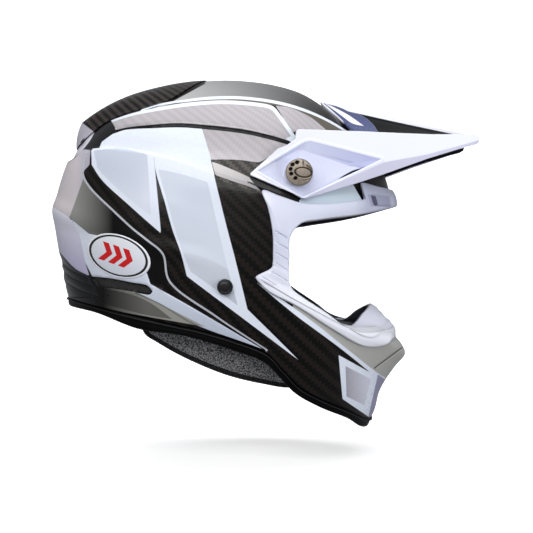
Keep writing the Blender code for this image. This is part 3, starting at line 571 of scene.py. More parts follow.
LOWER_RIDGE = [(-163.7, 43.1), (-151.4, 39.6), (-139.9, 32.6), (-102.1, 19.4), (-66.9, 7.9), (-34.3, -0.9),
               (3.5, -14.1)]
REAR_LINES = [[(-152, 2), (-141, -12), (-122, -22)], [(-146, -14), (-135, -22), (-118, -29)],
              [(-140, -26), (-130, -32), (-116, -37)]]
# Painted areas. Later ones lie over earlier ones.
PAINT_REGIONS = {
    "top_grey": chain((-18.5, 150), (-46.6, 134.6), (-66.9, 127.6), [(-31.7, 135.5), (3.5, 138.4),
        (38.7, 135.5), (74.8, 125.4), (101.2, 110.9)], (122.3, 100.3), (140, 172), (-18.5, 172)),
    "grey_top": chain([(-84.5, 123.2), (-49.3, 130.7), (-19.7, 133.8), (21.1, 133.3), (41.4, 129.8)],
        (59.8, 101.2), (57.2, 96.4), [(39.2, 101.2), (13.2, 107.4), (-21.6, 111.3), (-42.2, 112.6),
        (-70.4, 111.8), (-97.7, 109.1)], (-101.6, 116.7)),
    "grey_front": chain([(56.8, 128.5), (74.5, 120.1), (88, 109.1)], (62.5, 109.1), (58, 106),
        (42.2, 132.4)),
    "taupe": chain([(-18.5, 136.6), (1.8, 137.4), (17.6, 136.8), (39.6, 134), (58.1, 129.7), (80.4, 121.5),
        (102.8, 108.9)], (88, 109.1), [(74.5, 120.1), (56.8, 128.5), (42.2, 130.6), (21.5, 132.4),
        (-0.9, 133.6), (-40, 131)], (-40, 134.2)),
    "stripe_foot": chain((57, 104.2), (62.5, 102.1), (58.5, 97.6), (51.9, 101.2)),
    "white_above": chain((-100.3, 105.6), [(-84.5, 110.4), (-42.2, 112.6), (-21.7, 111.3)], (-10, 72.2),
        (-15.8, 56.3), (-42.2, 80), [(-70.4, 86), (-98.6, 90), (-112.6, 91)], (-110, 98.6)),
    "weave_field": chain([(17.6, 108.2), (57.2, 96.8)], (29, 80.5), [(7.9, 82.7), (-13.2, 82.7)],
        (-21.7, 111.8)),
    "carbon_patch": chain([(-0.9, 83.2), (14.1, 82.5), (31.7, 79.6)], (40, 50), (-9.7, 66), (-14, 83)),
    "silver_band_highlight": chain([(-3.5, 77.9), (19.4, 67.8), (31.7, 61.2)], (32.6, 54.6), [(17.6, 60.2),
        (5.3, 64.2), (-9.7, 69.5)], (-13.2, 81.4)),
    "rear_facet": chain([(-116.6, 106.5), (-125.8, 92.4), (-136, 82.7)], (-150, 76), (-137.3, 112),
        (-115.3, 132), (-115.3, 119.7)),
    "rear_panel": chain((-119.7, 91.5), (-120.6, 78.3), (-125.8, 73), (-125.4, 65.1), (-138.2, 32.1),
        (-159.3, 42.2), (-158, 74), [(-136, 82.4), (-126.1, 92.1)]),
    "dark_field": chain([(-119.1, 57.2), (-100.3, 38.7), (-81.8, 22), (-55.4, 2.6)], (-50.2, -22.9),
        (-66.9, -31.7), (-110.9, -7), (-125, 3.5), (-121.4, 17.6), (-138.2, 32.1), (-125.8, 66.9)),
    "v_panel": chain((-118.6, 78.5), [(-110, 65.5), (-84.5, 41.8), (-57.6, 18)], [(-61, 55), (-64.7, 91.5)],
        [(-93.3, 95), (-119.1, 92.5)]),
    "v_inner": chain((-113.4, 75.7), [(-107.4, 68.6), (-84.5, 47.5), (-66.4, 33.4)], [(-68, 60),
        (-69.7, 88)], [(-93.3, 93), (-116.8, 90.9)]),
    "big_panel": chain([(-63, 76.6), (-54.6, 46.6), (-47.5, 21.1), (-40.5, 1.8), (-34.9, -19.5)],
        [(-8.8, -39.2), (18.5, -59.7), (63.8, -93.7)], [(40.5, -70.4), (18.5, -48.8)], [(12.1, -22.4),
        (6.5, 0), (0.9, 21.1), (-9, 61.2), (-13.2, 79.2)], [(-31.7, 88), (-63.8, 92.5)]),
    "big_inner": chain([(-40.5, 70.4), (-16.7, 63.4)], [(-7, 21.1), (0, -8.4), (9.9, -45.3)],
        [(-11.4, -29.9), (-31.7, -15.4)], [(-38.7, 1.8), (-44.9, 21.1), (-52, 46), (-60.3, 74.8)]),
    "big_lower_shade": chain([(-18.5, -3.5), (0.9, -13.2)], (9.9, -45.3), [(-11.4, -29.9), (-31.7, -15.4)],
        (-38.4, 1.4)),
    "v_dark": chain([(-62.6, 76.6), (-54.6, 46.6), (-47.5, 21.1), (-40.5, 1.8)], (-57, 16), [(-61, 55),
        (-64.4, 92)]),
    "white_wedge": chain((-121.2, 17.8), (-110.9, 15.8), (-70.4, -15.8), (-66.9, -26.4), [(-22, -51.9),
        (31.7, -83.6)], [(13.2, -77), (-28.6, -61.6), (-58.1, -44), (-80.5, -33.9), (-100.3, -25.5)],
        (-117.9, -20.2), (-124.5, -7), (-129.6, 16.7), (-138.2, 31.9)),
    "rear_white": chain((-138.2, 32.1), [(-129.6, 16.7), (-124.5, -7)], (-120.6, -19.4), [(-133.8, -12.6),
        (-143.6, -2.6), (-162, 20)], (-160, 46)),
    "olive_wedge": chain([(-81.8, -33.1), (-56.7, -44.9), (-31.7, -57.5), (-18.5, -64.2)], [(-45.4, -59.4),
        (-84.7, -52.4), (-117, -46.6)], (-117.9, -28.7)),
    "olive_dark": chain([(-86.2, -35), (-66.9, -43.1), (-47.5, -57.5)], [(-70.7, -53.7), (-117, -41.4)],
        (-117.9, -29)),
    "rear_gloss": chain([(-143.6, -1.8), (-133.8, -12.3), (-119.7, -21.1)], (-116.2, -31.7), (-115.7, -48),
        (-160, -44), (-162, 20)),
    "chin_white": chain([(43.8, -36.6), (57.6, -46.3), (81.4, -63.8), (102.5, -80.7), (128.5, -101.4),
        (141, -110.5)], (132.4, -109.0), [(128.7, -106), (100.9, -83.6), (81.3, -69), (60.2, -53.4),
        (30.8, -28.9), (24.9, -23.5)]),
    "chin_grey": chain((172, -40), (172, -112), (139, -111), [(128.9, -102.4), (102.9, -81.6),
        (81.8, -64.6), (58, -46.6)], (60, -40)),
    "chin_panel": chain((124.1, -103), (140, -108.5), (135, -150), (102.1, -127.6), (98.6, -88.9)),
    "chin_inner": chain((127, -110.2), (121.5, -133), (105.6, -125.4), (104.7, -98.6)),
    "vent_slot": chain([(-101.6, -21.5), (-84.5, -24.8), (-69.5, -27.9), (-65.2, -32.6)], [(-67, -35.6),
        (-84.7, -32.8), (-114, -28)], (-122, -19.5)),
    "brow_panel": chain([(72, 50.3), (110.9, 61.9)], (119.4, 47.2), (119, 36), (64, 36), (64, 47.6)),
    "chin_face": chain([(128.5, -127), (124.2, -146)], (150, -146), (150, -118), (133.3, -106)),
    "gap_shade": chain([(44.3, 60.4), (66, 49.5)], (66, 40), [(48, 48), (32, 54), (20.5, 66.5)],
        (20.5, 70.6)),
    "rear_black": chain((-101.6, 117.5), (-97.7, 110.9), (-110, 98.6), (-112.6, 94), (-125, 92.4),
        (-116.2, 104.7), (-115.3, 119.5)),
}
PAINT_STRIPES = {
    "stripe_outer": (STRIPE_OUTER, (0.5, 0.3)), "stripe_inner": (STRIPE_INNER, (0.5, 0.0)),
    "groove": (GROOVE, (0.6, 0.0)), "groove_end": (GROOVE_END, (0.0, 0.3)),
    "silver_slot": (SILVER_SLOT, (0.5, 0.0)), "pinstripe": (PINSTRIPE, (0.0, 0.3)),
    "chin_seam": (CHIN_SEAM, (0.0, 0.0)),
    **{f"rear_line_{word}": (line, (0.3, 0.3)) for word, line in zip("abc", REAR_LINES)},
}
FIBRE_SPAN = 190                  # mm of fibre cloth from the disc's middle to its edge
RIB_RISE, RIB_FALL = 1.6, 26.0
GROOVE_DEPTH, GROOVE_HALF = 1.6, 1.7
CREASE_RISE, CREASE_SINK, CREASE_SOFT = 1.8, 1.4, 1.1


def shell_grid(counts, nv):
    """The shell's grid in the disc, its first and last columns on the mid-plane."""
    marks = to_disc([SHELL_PORT[3], (46.8, -8), SHELL_PORT[7]])
    inner = in_sections(edge_curve(SHELL_PORT, 1500), marks, counts)
    rim = edge_curve(SHELL_RIM, 1500)
    start = to_disc([(124, 93)])[0]
    start /= np.linalg.norm(start)
    over = np.vstack([mid_curve(start, rim[0], 2000, 1), rim[1:]])
    outer = in_sections(over, np.vstack([to_disc([(-98, 119.2)]), rim[:1], to_disc([(0, -66)])]), counts)
    return coons(inner, outer, mid_curve(inner[0], start, nv, 1), mid_curve(inner[-1], rim[-1], nv, -1))


def grid_normals(points):
    """Unit normals of a grid of skin points, outward, without a sideways part on the mid-plane."""
    du = np.gradient(points, axis=0)
    dv = np.gradient(points, axis=1)
    n = np.cross(du, dv)
    n[[0, -1], :, 1] = 0
    n /= np.maximum(np.linalg.norm(n, axis=2, keepdims=True), 1e-9)
    out = points - np.array([POLE[0], 0, POLE[1]])
    return n * np.sign((n * out).sum(axis=2, keepdims=True))


def relief(e):
    """How far the moulded shell stands off its plain skin, in mm, at elevation places e (n, 2)."""
    away, side, share = along(spline(GROOVE, 160), e)
    run = smooth(0.0, 0.12, share) * smooth(1.0, 0.9, share)
    high = RIB_RISE * smooth(RIB_FALL, 0, away) * run * (side > 0)
    cut = GROOVE_DEPTH * smooth(GROOVE_HALF, GROOVE_HALF - 1.1, away) * run
    away, side, share = along(spline(CREASE, 220), e)
    run = smooth(0.02, 0.14, share) * smooth(1.0, 0.86, share)
    signed = away * side
    step = smooth(CREASE_SOFT, -CREASE_SOFT, signed)
    shelf = (CREASE_RISE * smooth(34, 0, away) * step - CREASE_SINK * smooth(20, 0, away) * (1 - step)) * run
    away, side, share = along(spline(LOWER_RIDGE, 160), e)
    run = smooth(0.0, 0.1, share) * smooth(1.0, 0.75, share)
    bulge = 1.1 * smooth(12, 0, away) * run
    slot = -3.2 * smooth(0.1, 1.4, region(PAINT_REGIONS["vent_slot"], e))
    grooves = sum(-1.0 * smooth(3.2, 0.6, along(spline(line, 30), e)[0]) for line in REAR_LINES)
    seam = -0.7 * smooth(0.9, 0.2, along(np.array(CHIN_SEAM), e)[0])
    blade = 0.9 * smooth(-0.6, 0.6, region(PAINT_REGIONS["white_wedge"], e)) * smooth(-126, -112, e[:, 0])
    return high - cut + shelf + bulge + slot + grooves + seam + blade


def closed_shell(outer, inner, turn):
    """A half shell as one closed ring of rows per column: outer rows, the lower edge's turn, inner rows, the
    port edge's turn. turn is (start normals, end normals) used to round the two edges."""
    rim_turn = [outer[:, -1] * (1 - t) + inner[:, -1] * t + turn[1] * 0.35 for t in (0.12, 0.88)]
    port_turn = [outer[:, 0] * t + inner[:, 0] * (1 - t) + turn[0] * 0.35 for t in (0.12, 0.88)]
    rows = [outer] + [r[:, None] for r in rim_turn] + [inner[:, ::-1]] + [r[:, None] for r in port_turn]
    grid = np.concatenate(rows, axis=1)
    return grid, quads(*grid.shape[:2], wrap=True)


def paint_marks(ob, points, q):
    """Stores the paint layout on the vertices: distances to every region and stripe, and two coordinates."""
    e = elevation(points)
    for name, runs in PAINT_REGIONS.items():
        mark(ob, name, region(runs, e))
    for name, (line, taper) in PAINT_STRIPES.items():
        signed = band(line, e, taper)
        mark(ob, name, signed)
        mark(ob, name + "_reach", np.abs(signed))
    mark_flat(ob, "elevation", e)
    mark_flat(ob, "fibre", q, FIBRE_SPAN)


def make_shell():
    """The outer shell: its painted skin, its turned edges and its dark inside."""
    q = shell_grid(COLUMNS, ROWS)
    plain = from_disc(q, 0.0)
    normals = grid_normals(plain)
    lift = relief(elevation(plain).reshape(-1, 2)).reshape(plain.shape[:2])
    outer = plain + normals * lift[..., None]
    js = np.linspace(0, ROWS - 1, INNER_ROWS).astype(int)
    inner = from_disc(q[:, js], SHELL_WALL)
    out_port = outer[:, 0] - outer[:, 1]
    out_rim = outer[:, -1] - outer[:, -2]
    turn = [v / np.maximum(np.linalg.norm(v, axis=1, keepdims=True), 1e-9) for v in (out_port, out_rim)]
    grid, faces = closed_shell(outer, inner, turn)
    rows = list(range(ROWS)) + [ROWS - 1] * 2 + list(js[::-1]) + [0, 0]
    qs = q[:, rows].reshape(-1, 2)
    flat = grid.reshape(-1, 3)
    ob = half_mesh("shell_paint", flat, faces)
    paint_marks(ob, flat, qs)
    nv = grid.shape[1]
    indices = np.zeros(len(faces), np.int32)
    columns = np.arange(len(faces)) % nv
    indices[(columns >= ROWS + 1) & (columns < ROWS + 1 + INNER_ROWS)] = 1
    ob.data.polygons.foreach_set("material_index", indices)
    settle(ob, "shell", "painted_shell", shell_paint(), "outer_shell")
    ob.data.materials.append(shell_inside())


WHITE = srgb(226, 232, 244)
PALE_GREY = srgb(178, 173, 177)
INK = (0.004, 0.004, 0.005)
TOW = 2.1                         # width of one fibre tow, mm


def shell_paint():
    """Lacquered twill with its painted areas laid over it in order."""
    g = Graph("shell_paint")
    fibre = g.attribute("fibre", "Vector")
    warp, height, lines = weave_of(g, fibre, TOW)
    x, z, _ = g.axes(g.attribute("elevation", "Vector"))
    tow_noise = g.noise(0.9, fibre, 2.0)
    dark = g.mix(warp, srgb(3, 3, 3), srgb(36, 29, 25))
    dark = g.mix(g.times(tow_noise, 0.5), dark, srgb(8, 7, 7))
    dark = g.mix(g.span(lines, 0.0, 0.5, 0.0, 0.22), dark, (0.0, 0.0, 0.0))
    p = Paint(g, dark, (0.34, 0.25, 1.0))
    # the top's grey runs from light at the back to dark at the front: grey paint with a painted highlight
    tone = g.span(x, -40, 88)
    grey = g.mix(tone, srgb(190, 191, 191), srgb(30, 26, 24))
    p.fill("top_grey", grey, 0.32, 0.3)
    pale = g.mix(g.times(warp, 0.6), PALE_GREY, srgb(192, 187, 190))
    pale = g.mix(g.span(height, 0.0, 0.5, 0.25, 0.0), pale, srgb(140, 136, 140))
    p.fill("grey_top", pale, 0.35, 0.1, 0.35)
    p.fill("grey_front", pale, 0.35, 0.1, 0.35)
    p.fill("taupe", srgb(104, 98, 90), 0.35, 0.2)
    p.fill("white_above", WHITE)
    p.fill("weave_field", pale, 0.35, 0.1, 0.35)
    bronze = g.mix(warp, srgb(14, 12, 11), srgb(72, 64, 57))
    p.fill("carbon_patch", bronze, 0.42, 0.0, 1.0)
    # silver paint, lighter towards the top: partly a painted highlight
    p.fill("silver_band_highlight", g.ramp(z, 57, 80, srgb(160, 158, 160), srgb(206, 201, 200)), 0.42, 0.1)
    p.lay(p.stripe("silver_slot", 0.7), INK, 0.4)
    p.lay(p.stripe("groove", 1.9), INK, 0.5)
    p.lay(p.stripe("groove_end", 2.0), INK, 0.5)
    p.lay(p.stripe("stripe_outer", 1.35), WHITE)
    p.lay(p.stripe("stripe_inner", 1.65), WHITE)
    p.fill("stripe_foot", WHITE)
    p.fill("rear_black", (0.006, 0.006, 0.007), 0.3)
    # the gap under the visor's wing is painted black on the shell: a painted shadow
    p.fill("gap_shade", INK, 0.4)
    p.fill("brow_panel", g.ramp(x, 66, 112, srgb(186, 200, 212), srgb(206, 220, 230)), 0.25)
    p.fill("rear_facet", g.ramp(x, -146, -120, srgb(190, 186, 200), srgb(214, 212, 222)), 0.3)
    lavender = g.ramp(x, -132, -124, srgb(203, 196, 200), srgb(176, 172, 186))
    p.fill("rear_panel", lavender, 0.3)
    shade = g.ramp(x, -133, -100, srgb(158, 158, 153), srgb(8, 7, 7))
    p.fill("dark_field", shade, 0.32, 0.3)
    p.fill("v_panel", WHITE)
    p.fill("v_inner", g.ramp(z, 40, 92, srgb(216, 222, 235), srgb(198, 205, 220)), 0.3)
    p.fill("v_dark", dark, 0.34, 0.25, 1.0)
    p.fill("big_panel", WHITE)
    p.fill("big_inner", g.ramp(z, -40, 76, srgb(218, 225, 237), srgb(202, 209, 223)), 0.3)
    # the panel's lower part, below the crease, painted darker towards the bottom: painted shade
    p.fill("big_lower_shade", g.ramp(z, -40, 0, srgb(190, 197, 208), srgb(208, 214, 224)), 0.3)
    p.lay(p.stripe("pinstripe", 0.85), srgb(214, 218, 226), 0.25, 0.4)
    # white, painted darker towards the bottom: painted shade
    p.fill("white_wedge", g.ramp(z, -70, 10, srgb(188, 196, 211), WHITE))
    # white, painted lavender towards the bottom: painted shade
    p.fill("rear_white", g.ramp(z, -10, 36, srgb(190, 186, 214), srgb(232, 232, 244)), 0.3)
    p.fill("olive_wedge", g.ramp(x, -108, -66, srgb(7, 6, 6), srgb(156, 155, 148)), 0.35, 0.1)
    p.fill("olive_dark", g.ramp(x, -108, -70, srgb(6, 5, 5), srgb(106, 105, 101)), 0.35, 0.1)
    p.fill("rear_gloss", (0.005, 0.005, 0.006), 0.2)
    for word in "abc":
        line = g.times(p.mask("rear_gloss"), p.stripe(f"rear_line_{word}", 0.9, 0.3))
        p.lay(line, (0.002, 0.002, 0.002), 0.5)
    # the slot behind the rear grille painted black: painted shade inside the vent
    p.fill("vent_slot", (0.003, 0.003, 0.003), 0.6)
    p.fill("chin_grey", srgb(182, 182, 176), 0.35, 0.1)
    p.fill("chin_white", WHITE)
    p.fill("chin_panel", WHITE)
    p.fill("chin_inner", g.ramp(x, 104, 127, srgb(160, 158, 166), srgb(214, 216, 230)), 0.3)
    p.fill("chin_face", srgb(150, 148, 178), 0.3)
    p.lay(p.stripe("chin_seam", 0.45), srgb(60, 60, 58), 0.4)
    rough, metal, woven = g.axes(p.finish)
    where = g.place()
    dust = g.noise(0.35, where, 4.0, 0.6)
    rough = g.plus(rough, g.span(dust, 0.35, 0.75, -0.03, 0.05))
    surface = g.bump(g.times(height, woven), 0.00012, 0.35)
    peel = g.bump(g.noise(0.22, where, 1.0), 0.0004, 0.05)
    return g.finish(Base_Color=p.colour, Roughness=rough, Metallic=metal, Normal=surface, Coat_Weight=0.18,
                    Coat_Roughness=0.08, Coat_Normal=peel, IOR=1.5, Specular_IOR_Level=0.22)


def shell_inside():
    g = Graph("shell_inside")
    where = g.place()
    cloth = g.noise(3.0, where, 3.0)
    colour = g.ramp(cloth, 0.35, 0.65, srgb(18, 17, 17), srgb(32, 30, 29))
    return g.finish(Base_Color=colour, Roughness=0.75, Normal=g.bump(cloth, 0.0003, 0.6))

# ---------------------------------------------------------------- bodies from grids
def ring_body(name, rails, slot, material, *nodes, closed_end=False):
    """A mirrored closed body on the shell: its section's corners run along rails, in mm, in order round it."""
    grid = np.stack([np.asarray(r, float) for r in rails], axis=1)
    nu, nv = grid.shape[:2]
    ob = half_mesh(name, grid.reshape(-1, 3), quads(nu, nv, wrap=True))
    if closed_end:
        recalc(ob, [(nu - 1) * nv + j for j in range(nv)])
    return settle(ob, "shell", slot, material, *nodes)


def settle(ob, body, slot, material, *nodes):
    """Gives a piece its finish and its body, and hides the CAD nodes it stands in for. The slot is not used."""
    ob.data.materials.append(material)
    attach(ob, body)
    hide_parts(*nodes)
    return ob


def lifted(points, height):
    """A grid of points moved out along its own surface normals, without leaving the mid-plane at its ends."""
    return points + grid_normals(points) * np.asarray(height)[..., None]


# ---------------------------------------------------------------- eye-port trim
TRIM_COLUMNS = (120, 120, 36, 48, 170)
TRIM_ROWS = 44
TRIM_RIDGES, RIDGE_PITCH, RIDGE_TOP, RIDGE_SLOPE = 6, 9.3, 20.7, -0.57
BROW_RECESS = chain((143, 50.6), (144.6, 41), (127.2, 41.8), (124, 52.6))
BROW_SLOT = chain((129.8, 50.2), (132, 42.4), (127.8, 42.8), (125.2, 50.6))
JAW_CREASE = [(27, -20.7), (60, -40), (101.9, -62.7), (125, -72), (141, -67)]


def trim_height(v, e):
    """How far the trim stands off the skin: v runs 0..1 from its outer edge to the port."""
    crown = 3.0 + np.sin(np.pi * np.clip(v * 1.1, 0, 1)) - 1.1 * smooth(0.93, 1.0, v) - smooth(0.05, 0, v)
    crown = crown - 1.5 * smooth(112, 140, e[..., 0]) * (e[..., 1] < 0)
    on_side = (e[..., 1] > -27) & (e[..., 1] < 24) & (e[..., 0] < 62)
    phase = (e[..., 1] - RIDGE_TOP - RIDGE_SLOPE * (e[..., 0] - 40.5)) / RIDGE_PITCH
    saw = phase - np.floor(phase)
    count_ok = (phase > -TRIM_RIDGES + 0.4) & (phase < 0.6)
    cut = 1.5 * smooth(0.12, 0.02, saw) + 1.5 * smooth(0.97, 1.0, saw)
    across = smooth(0.10, 0.2, v) * smooth(0.97, 0.9, v)
    ridges = np.where(on_side & count_ok, (saw - 0.5 - cut) * across, 0)
    flat = e.reshape(-1, 2)
    recess = smooth(0.0, 1.3, region(BROW_RECESS, flat)).reshape(v.shape) * -1.5
    away, side, share = along(spline(JAW_CREASE, 120), flat)
    fold = (0.9 * smooth(7, 0, away) * (side > 0) - 0.5 * smooth(4, 0, away) * (side <= 0))
    fold = (fold * smooth(0, 0.08, share)).reshape(v.shape)
    return crown + ridges + recess + fold


def trim_curves():
    """The trim's outer and inner edges, with the same number of columns between their matching corners."""
    edges = ((PORT_TRIM_OUTER, [8, 13, 16, 19]), (PORT_TRIM_INNER, [4, 6, 7, 8]))
    return [snapped(in_sections(edge_curve(edge, 2400), to_disc(edge)[corners], TRIM_COLUMNS))
            for edge, corners in edges]


def make_port_trim():
    """The white moulding round the eye port, turned in over the shell's edge."""
    outer, inner = trim_curves()
    v = np.linspace(0, 1, TRIM_ROWS)[None, :]
    q = outer[:, None] * (1 - v[..., None]) + inner[:, None] * v[..., None]
    q[0] /= np.linalg.norm(q[0], axis=1, keepdims=True)
    q[-1] /= np.linalg.norm(q[-1], axis=1, keepdims=True)
    base = from_disc(q, 0.0)
    v = np.broadcast_to(v, base.shape[:2])
    height = trim_height(v, elevation(base))
    top = lifted(base, height)
    length = np.linalg.norm(base[:, 0] - base[:, -1], axis=1)[:, None]
    back = snapped(inner + (outer - inner) * np.clip(2.4 / length, 0, 0.6))
    rails = [top[:, j] for j in range(TRIM_ROWS)]
    rails += [from_disc(inner, -0.5 * height[:, -1])] + [from_disc(inner, d) for d in (1.5, 4.5, 8.2, 9.0)]
    rails += [from_disc(snapped((inner + back) / 2), 9.4), from_disc(back, 9.0), from_disc(back, -1.5),
              from_disc(outer, -1.5)]
    ob = ring_body("port_trim_moulding", rails, "white_plastic", trim_plastic(), "eyeport_trim")
    flat = np.stack(rails, axis=1).reshape(-1, 3)
    e = elevation(flat)
    mark_flat(ob, "elevation", e)
    mark(ob, "recess", region(BROW_RECESS, e))
    # the rows turned in over the edge are marked for the dark grey of painted shade inside the port
    depth = np.tile(np.concatenate([np.zeros(TRIM_ROWS), [0.0, 0.5, 1, 1, 1, 1, 1, 0.5, 0]]), len(outer))
    mark(ob, "inward", depth * (1 - smooth(96, 110, e[:, 0]) * (e[:, 1] < 0)))


def trim_plastic():
    g = Graph("trim_plastic")
    where = g.place()
    fine = g.noise(1.1, where, 3.0)
    colour = g.mix(g.span(g.noise(0.04, where, 2.0), 0.3, 0.7, 0.0, 0.25), srgb(222, 225, 241), srgb(210, 213, 233))
    x, z, _ = g.axes(g.attribute("elevation", "Vector"))
    brow = g.times(g.span(x, 112, 124), g.span(z, -10, 10))
    colour = g.mix(brow, colour, srgb(196, 199, 220))
    # lighter towards the bottom: a painted highlight
    colour = g.ramp(z, -8, -40, colour, srgb(244, 246, 253))
    # the brow recess painted darker lavender: painted shade
    colour = g.mix(g.mask_of("recess", 0.3), colour, srgb(170, 173, 198))
    # the rows turned in over the edge painted dark grey: painted shade inside the port
    colour = g.mix(g.span(g.attribute("inward"), 0.1, 0.8), colour, srgb(92, 92, 104))
    rough = g.span(fine, 0.3, 0.7, 0.28, 0.36)
    return g.finish(Base_Color=colour, Roughness=rough, Normal=g.bump(fine, 0.00005, 0.25), Coat_Weight=0.25,
                    Coat_Roughness=0.12)


# ---------------------------------------------------------------- lower rim band
RIM_COLUMNS = 420
RIM_PROFILE = [(0.0, -1.6), (0.02, 0.4), (0.05, 1.3), (0.12, 1.8), (0.19, 1.4), (0.24, 0.5), (0.31, 0.4),
               (0.45, 0.9), (0.60, 1.2), (0.75, 1.2), (0.88, 0.7), (0.96, -0.4), (1.0, -2.0)]


def make_rim_band():
    """The black rubber band: a bead along its top, a soft face, and a lip that turns in under the shell."""
    top = snapped(edge_curve([(x, z - 0.6) for x, z in SHELL_RIM], RIM_COLUMNS))
    low = snapped(edge_curve(TRIM_RIM, RIM_COLUMNS))
    lip = snapped(edge_curve([(x, z + 3.0) for x, z in TRIM_RIM], RIM_COLUMNS))
    rails = [from_disc(snapped(top + (low - top) * share), -height) for share, height in RIM_PROFILE]
    rails += [from_disc(low, 6.0), from_disc(low, 12.5), from_disc(snapped((low + lip) / 2), 14.0),
              from_disc(lip, 13.0), from_disc(lip, 4.0), from_disc(top, 3.0)]
    ob = ring_body("rim_band", rails, "black_rubber", rubber(), "base_rim_trim")
    crest = [share for share, _ in RIM_PROFILE] + [1.0] * (len(rails) - len(RIM_PROFILE))
    mark(ob, "crest", np.tile(crest, RIM_COLUMNS))


def rubber():
    g = Graph("rim_rubber")
    where = g.place()
    grain = g.noise(2.6, where, 4.0, 0.6)
    dust = g.noise(0.12, where, 3.0)
    colour = g.ramp(dust, 0.45, 0.75, srgb(1, 1, 1), srgb(5, 5, 6))
    # a light grey line painted along the bead's crest: a painted highlight
    bead_highlight = g.span(g.size(g.minus(g.attribute("crest"), 0.13)), 0.04, 0.01)
    colour = g.mix(bead_highlight, colour, srgb(64, 64, 68))
    rough = g.span(grain, 0.3, 0.7, 0.36, 0.54)
    return g.finish(Base_Color=colour, Roughness=rough, Normal=g.bump(grain, 0.0002, 0.4), Specular_IOR_Level=0.12)


# ---------------------------------------------------------------- mouthpiece
MOUTH_EDGE = [(127, 0, -43.3), (125.8, 14, -44.3), (122.5, 27, -46.8), (117.5, 39, -50.8), (112, 50, -56.4),
              (106.3, 60, -59.7), (100, 67, -59.2)]


def make_mouthpiece():
    """A raised saddle across the chin bar, with a grille set in its front face."""
    _, inner = trim_curves()
    edge = from_disc(inner, -0.4)[-150:][::-1]
    high = spline(MOUTH_EDGE, 90)
    low = np.stack([np.interp(high[:, 1], edge[:, 1], edge[:, k]) for k in range(3)], axis=1)
    low[:, 1] = high[:, 1]
    rows = 40
    v = np.linspace(0, 1, rows)[None, :, None]
    face = high[:, None] * (1 - v) + low[:, None] * v
    out = np.array([0.72, 0.0, 0.69])
    bow = 2.2 * np.sin(np.pi * v[..., 0]) * smooth(55, 20, high[:, 1])[:, None]
    y = np.broadcast_to(high[:, 1][:, None], face.shape[:2])
    t = np.broadcast_to(v[..., 0], face.shape[:2])
    window = smooth(17, 14, y) * smooth(0.24, 0.32, t) * smooth(0.76, 0.68, t)
    step = 0.7 * smooth(0.74, 0.82, t) * smooth(56, 46, y)
    face = face + (bow + step - 0.9 * window)[..., None] * out
    back = face[:, ::4] - np.array([2.4, 0, 1.2])
    rails = [face[:, j] for j in range(rows)] + [back[:, j] for j in range(back.shape[1] - 1, -1, -1)]
    rails = [np.where(np.arange(len(r))[:, None] == 0, r * np.array([1, 0, 1]), r) for r in rails]
    ob = ring_body("mouthpiece", rails, "white_plastic", mouth_plastic(), "mouth_vent_housing",
                   "mouth_vent_mesh", closed_end=True)
    # the back rows are marked 3 so the finish paints them dark grey: painted shade
    behind = np.full((len(high), back.shape[1]), 3.0)
    behind[:, [0, -1]] = -1.0
    shade = np.concatenate([window * 2 - 1, behind], axis=1)
    mark(ob, "window", shade.reshape(-1))


def mouth_plastic():
    g = Graph("mouth_plastic")
    where = g.place()
    fine = g.noise(1.1, where, 3.0)
    axes = g.axes(where)
    cell = g.times(g.wave(axes[1], 2.6),
                  g.wave(axes[2], 2.6))
    # the grille's holes painted near black: painted shade behind the grille
    grille = g.ramp(cell, -0.1, 0.15, srgb(58, 58, 64), (0.003, 0.003, 0.003))
    # the back faces painted dark grey: painted shade inside the chin bar
    inside = g.span(g.attribute("window"), 1.5, 2.5)
    colour = g.mix(g.mask_of("window", 0.3), srgb(234, 236, 250), grille)
    colour = g.mix(inside, colour, srgb(66, 64, 76))
    return g.finish(Base_Color=colour, Roughness=g.span(fine, 0.3, 0.7, 0.3, 0.38),
                    Normal=g.bump(fine, 0.00005, 0.25), Coat_Weight=0.2, Coat_Roughness=0.15)

# ---------------------------------------------------------------- visor: stations of the wing's top and low edges
PIVOT = (61.0, 64.5)
VISOR_WALL = 2.4
WING_STATIONS = [
    ((22.5, 119.5, 63.8), (22.6, 119.5, 62.6), 0), ((44.0, 117, 83.4), (42.8, 119, 53.9), 60),
    ((53.0, 112, 87.6), (54.0, 117.5, 48.8), 24), ((59.4, 106.5, 92.4), (65.0, 115, 44.0), 24),
    ((60.4, 103.5, 100.4), (67.6, 114, 44.2), 14), ((77.8, 95.5, 100.6), (80.5, 108.5, 48.6), 34),
    ((116.0, 80.5, 100.6), (112.0, 94.0, 59.2), 70), ((145.0, 69.5, 100.3), (146.0, 77.5, 71.4), 60),
    ((172.7, 59.0, 100.2), (172.0, 65.5, 80.6), 56), ((209.9, 46.5, 101.4), (203.0, 52.5, 90.4), 74),
    ((214.4, 45.0, 100.4), (213.0, 48.0, 92.9), 10), ((215.8, 44.6, 98.6), (215.6, 45.6, 94.4), 5),
]
FIRST_TOP_STATION, LAST_TOP_STATION = 6, 9
WING_ROWS, TOP_ROWS = 88, 76
REAR_EDGE = [(83, 0, 134.0), (85.5, 8, 130.6), (89.5, 18, 125.6), (95, 30, 119.4), (103.5, 47, 109.2),
             (111, 64, 102.0), (116, 80.5, 100.6)]
FRONT_EDGE = [(209.5, 0, 104.9), (212.0, 17, 103.4), (213.5, 33, 102.4), (209.9, 46.5, 101.4)]
RECESS_EDGE = chain([(49.2, 86.7), (68.8, 98.4)], (73.8, 99.4), (136.2, 83.4), (123.6, 77.2), [(96.9, 64.5),
    (67.4, 50.3)], (27.6, 73.3))
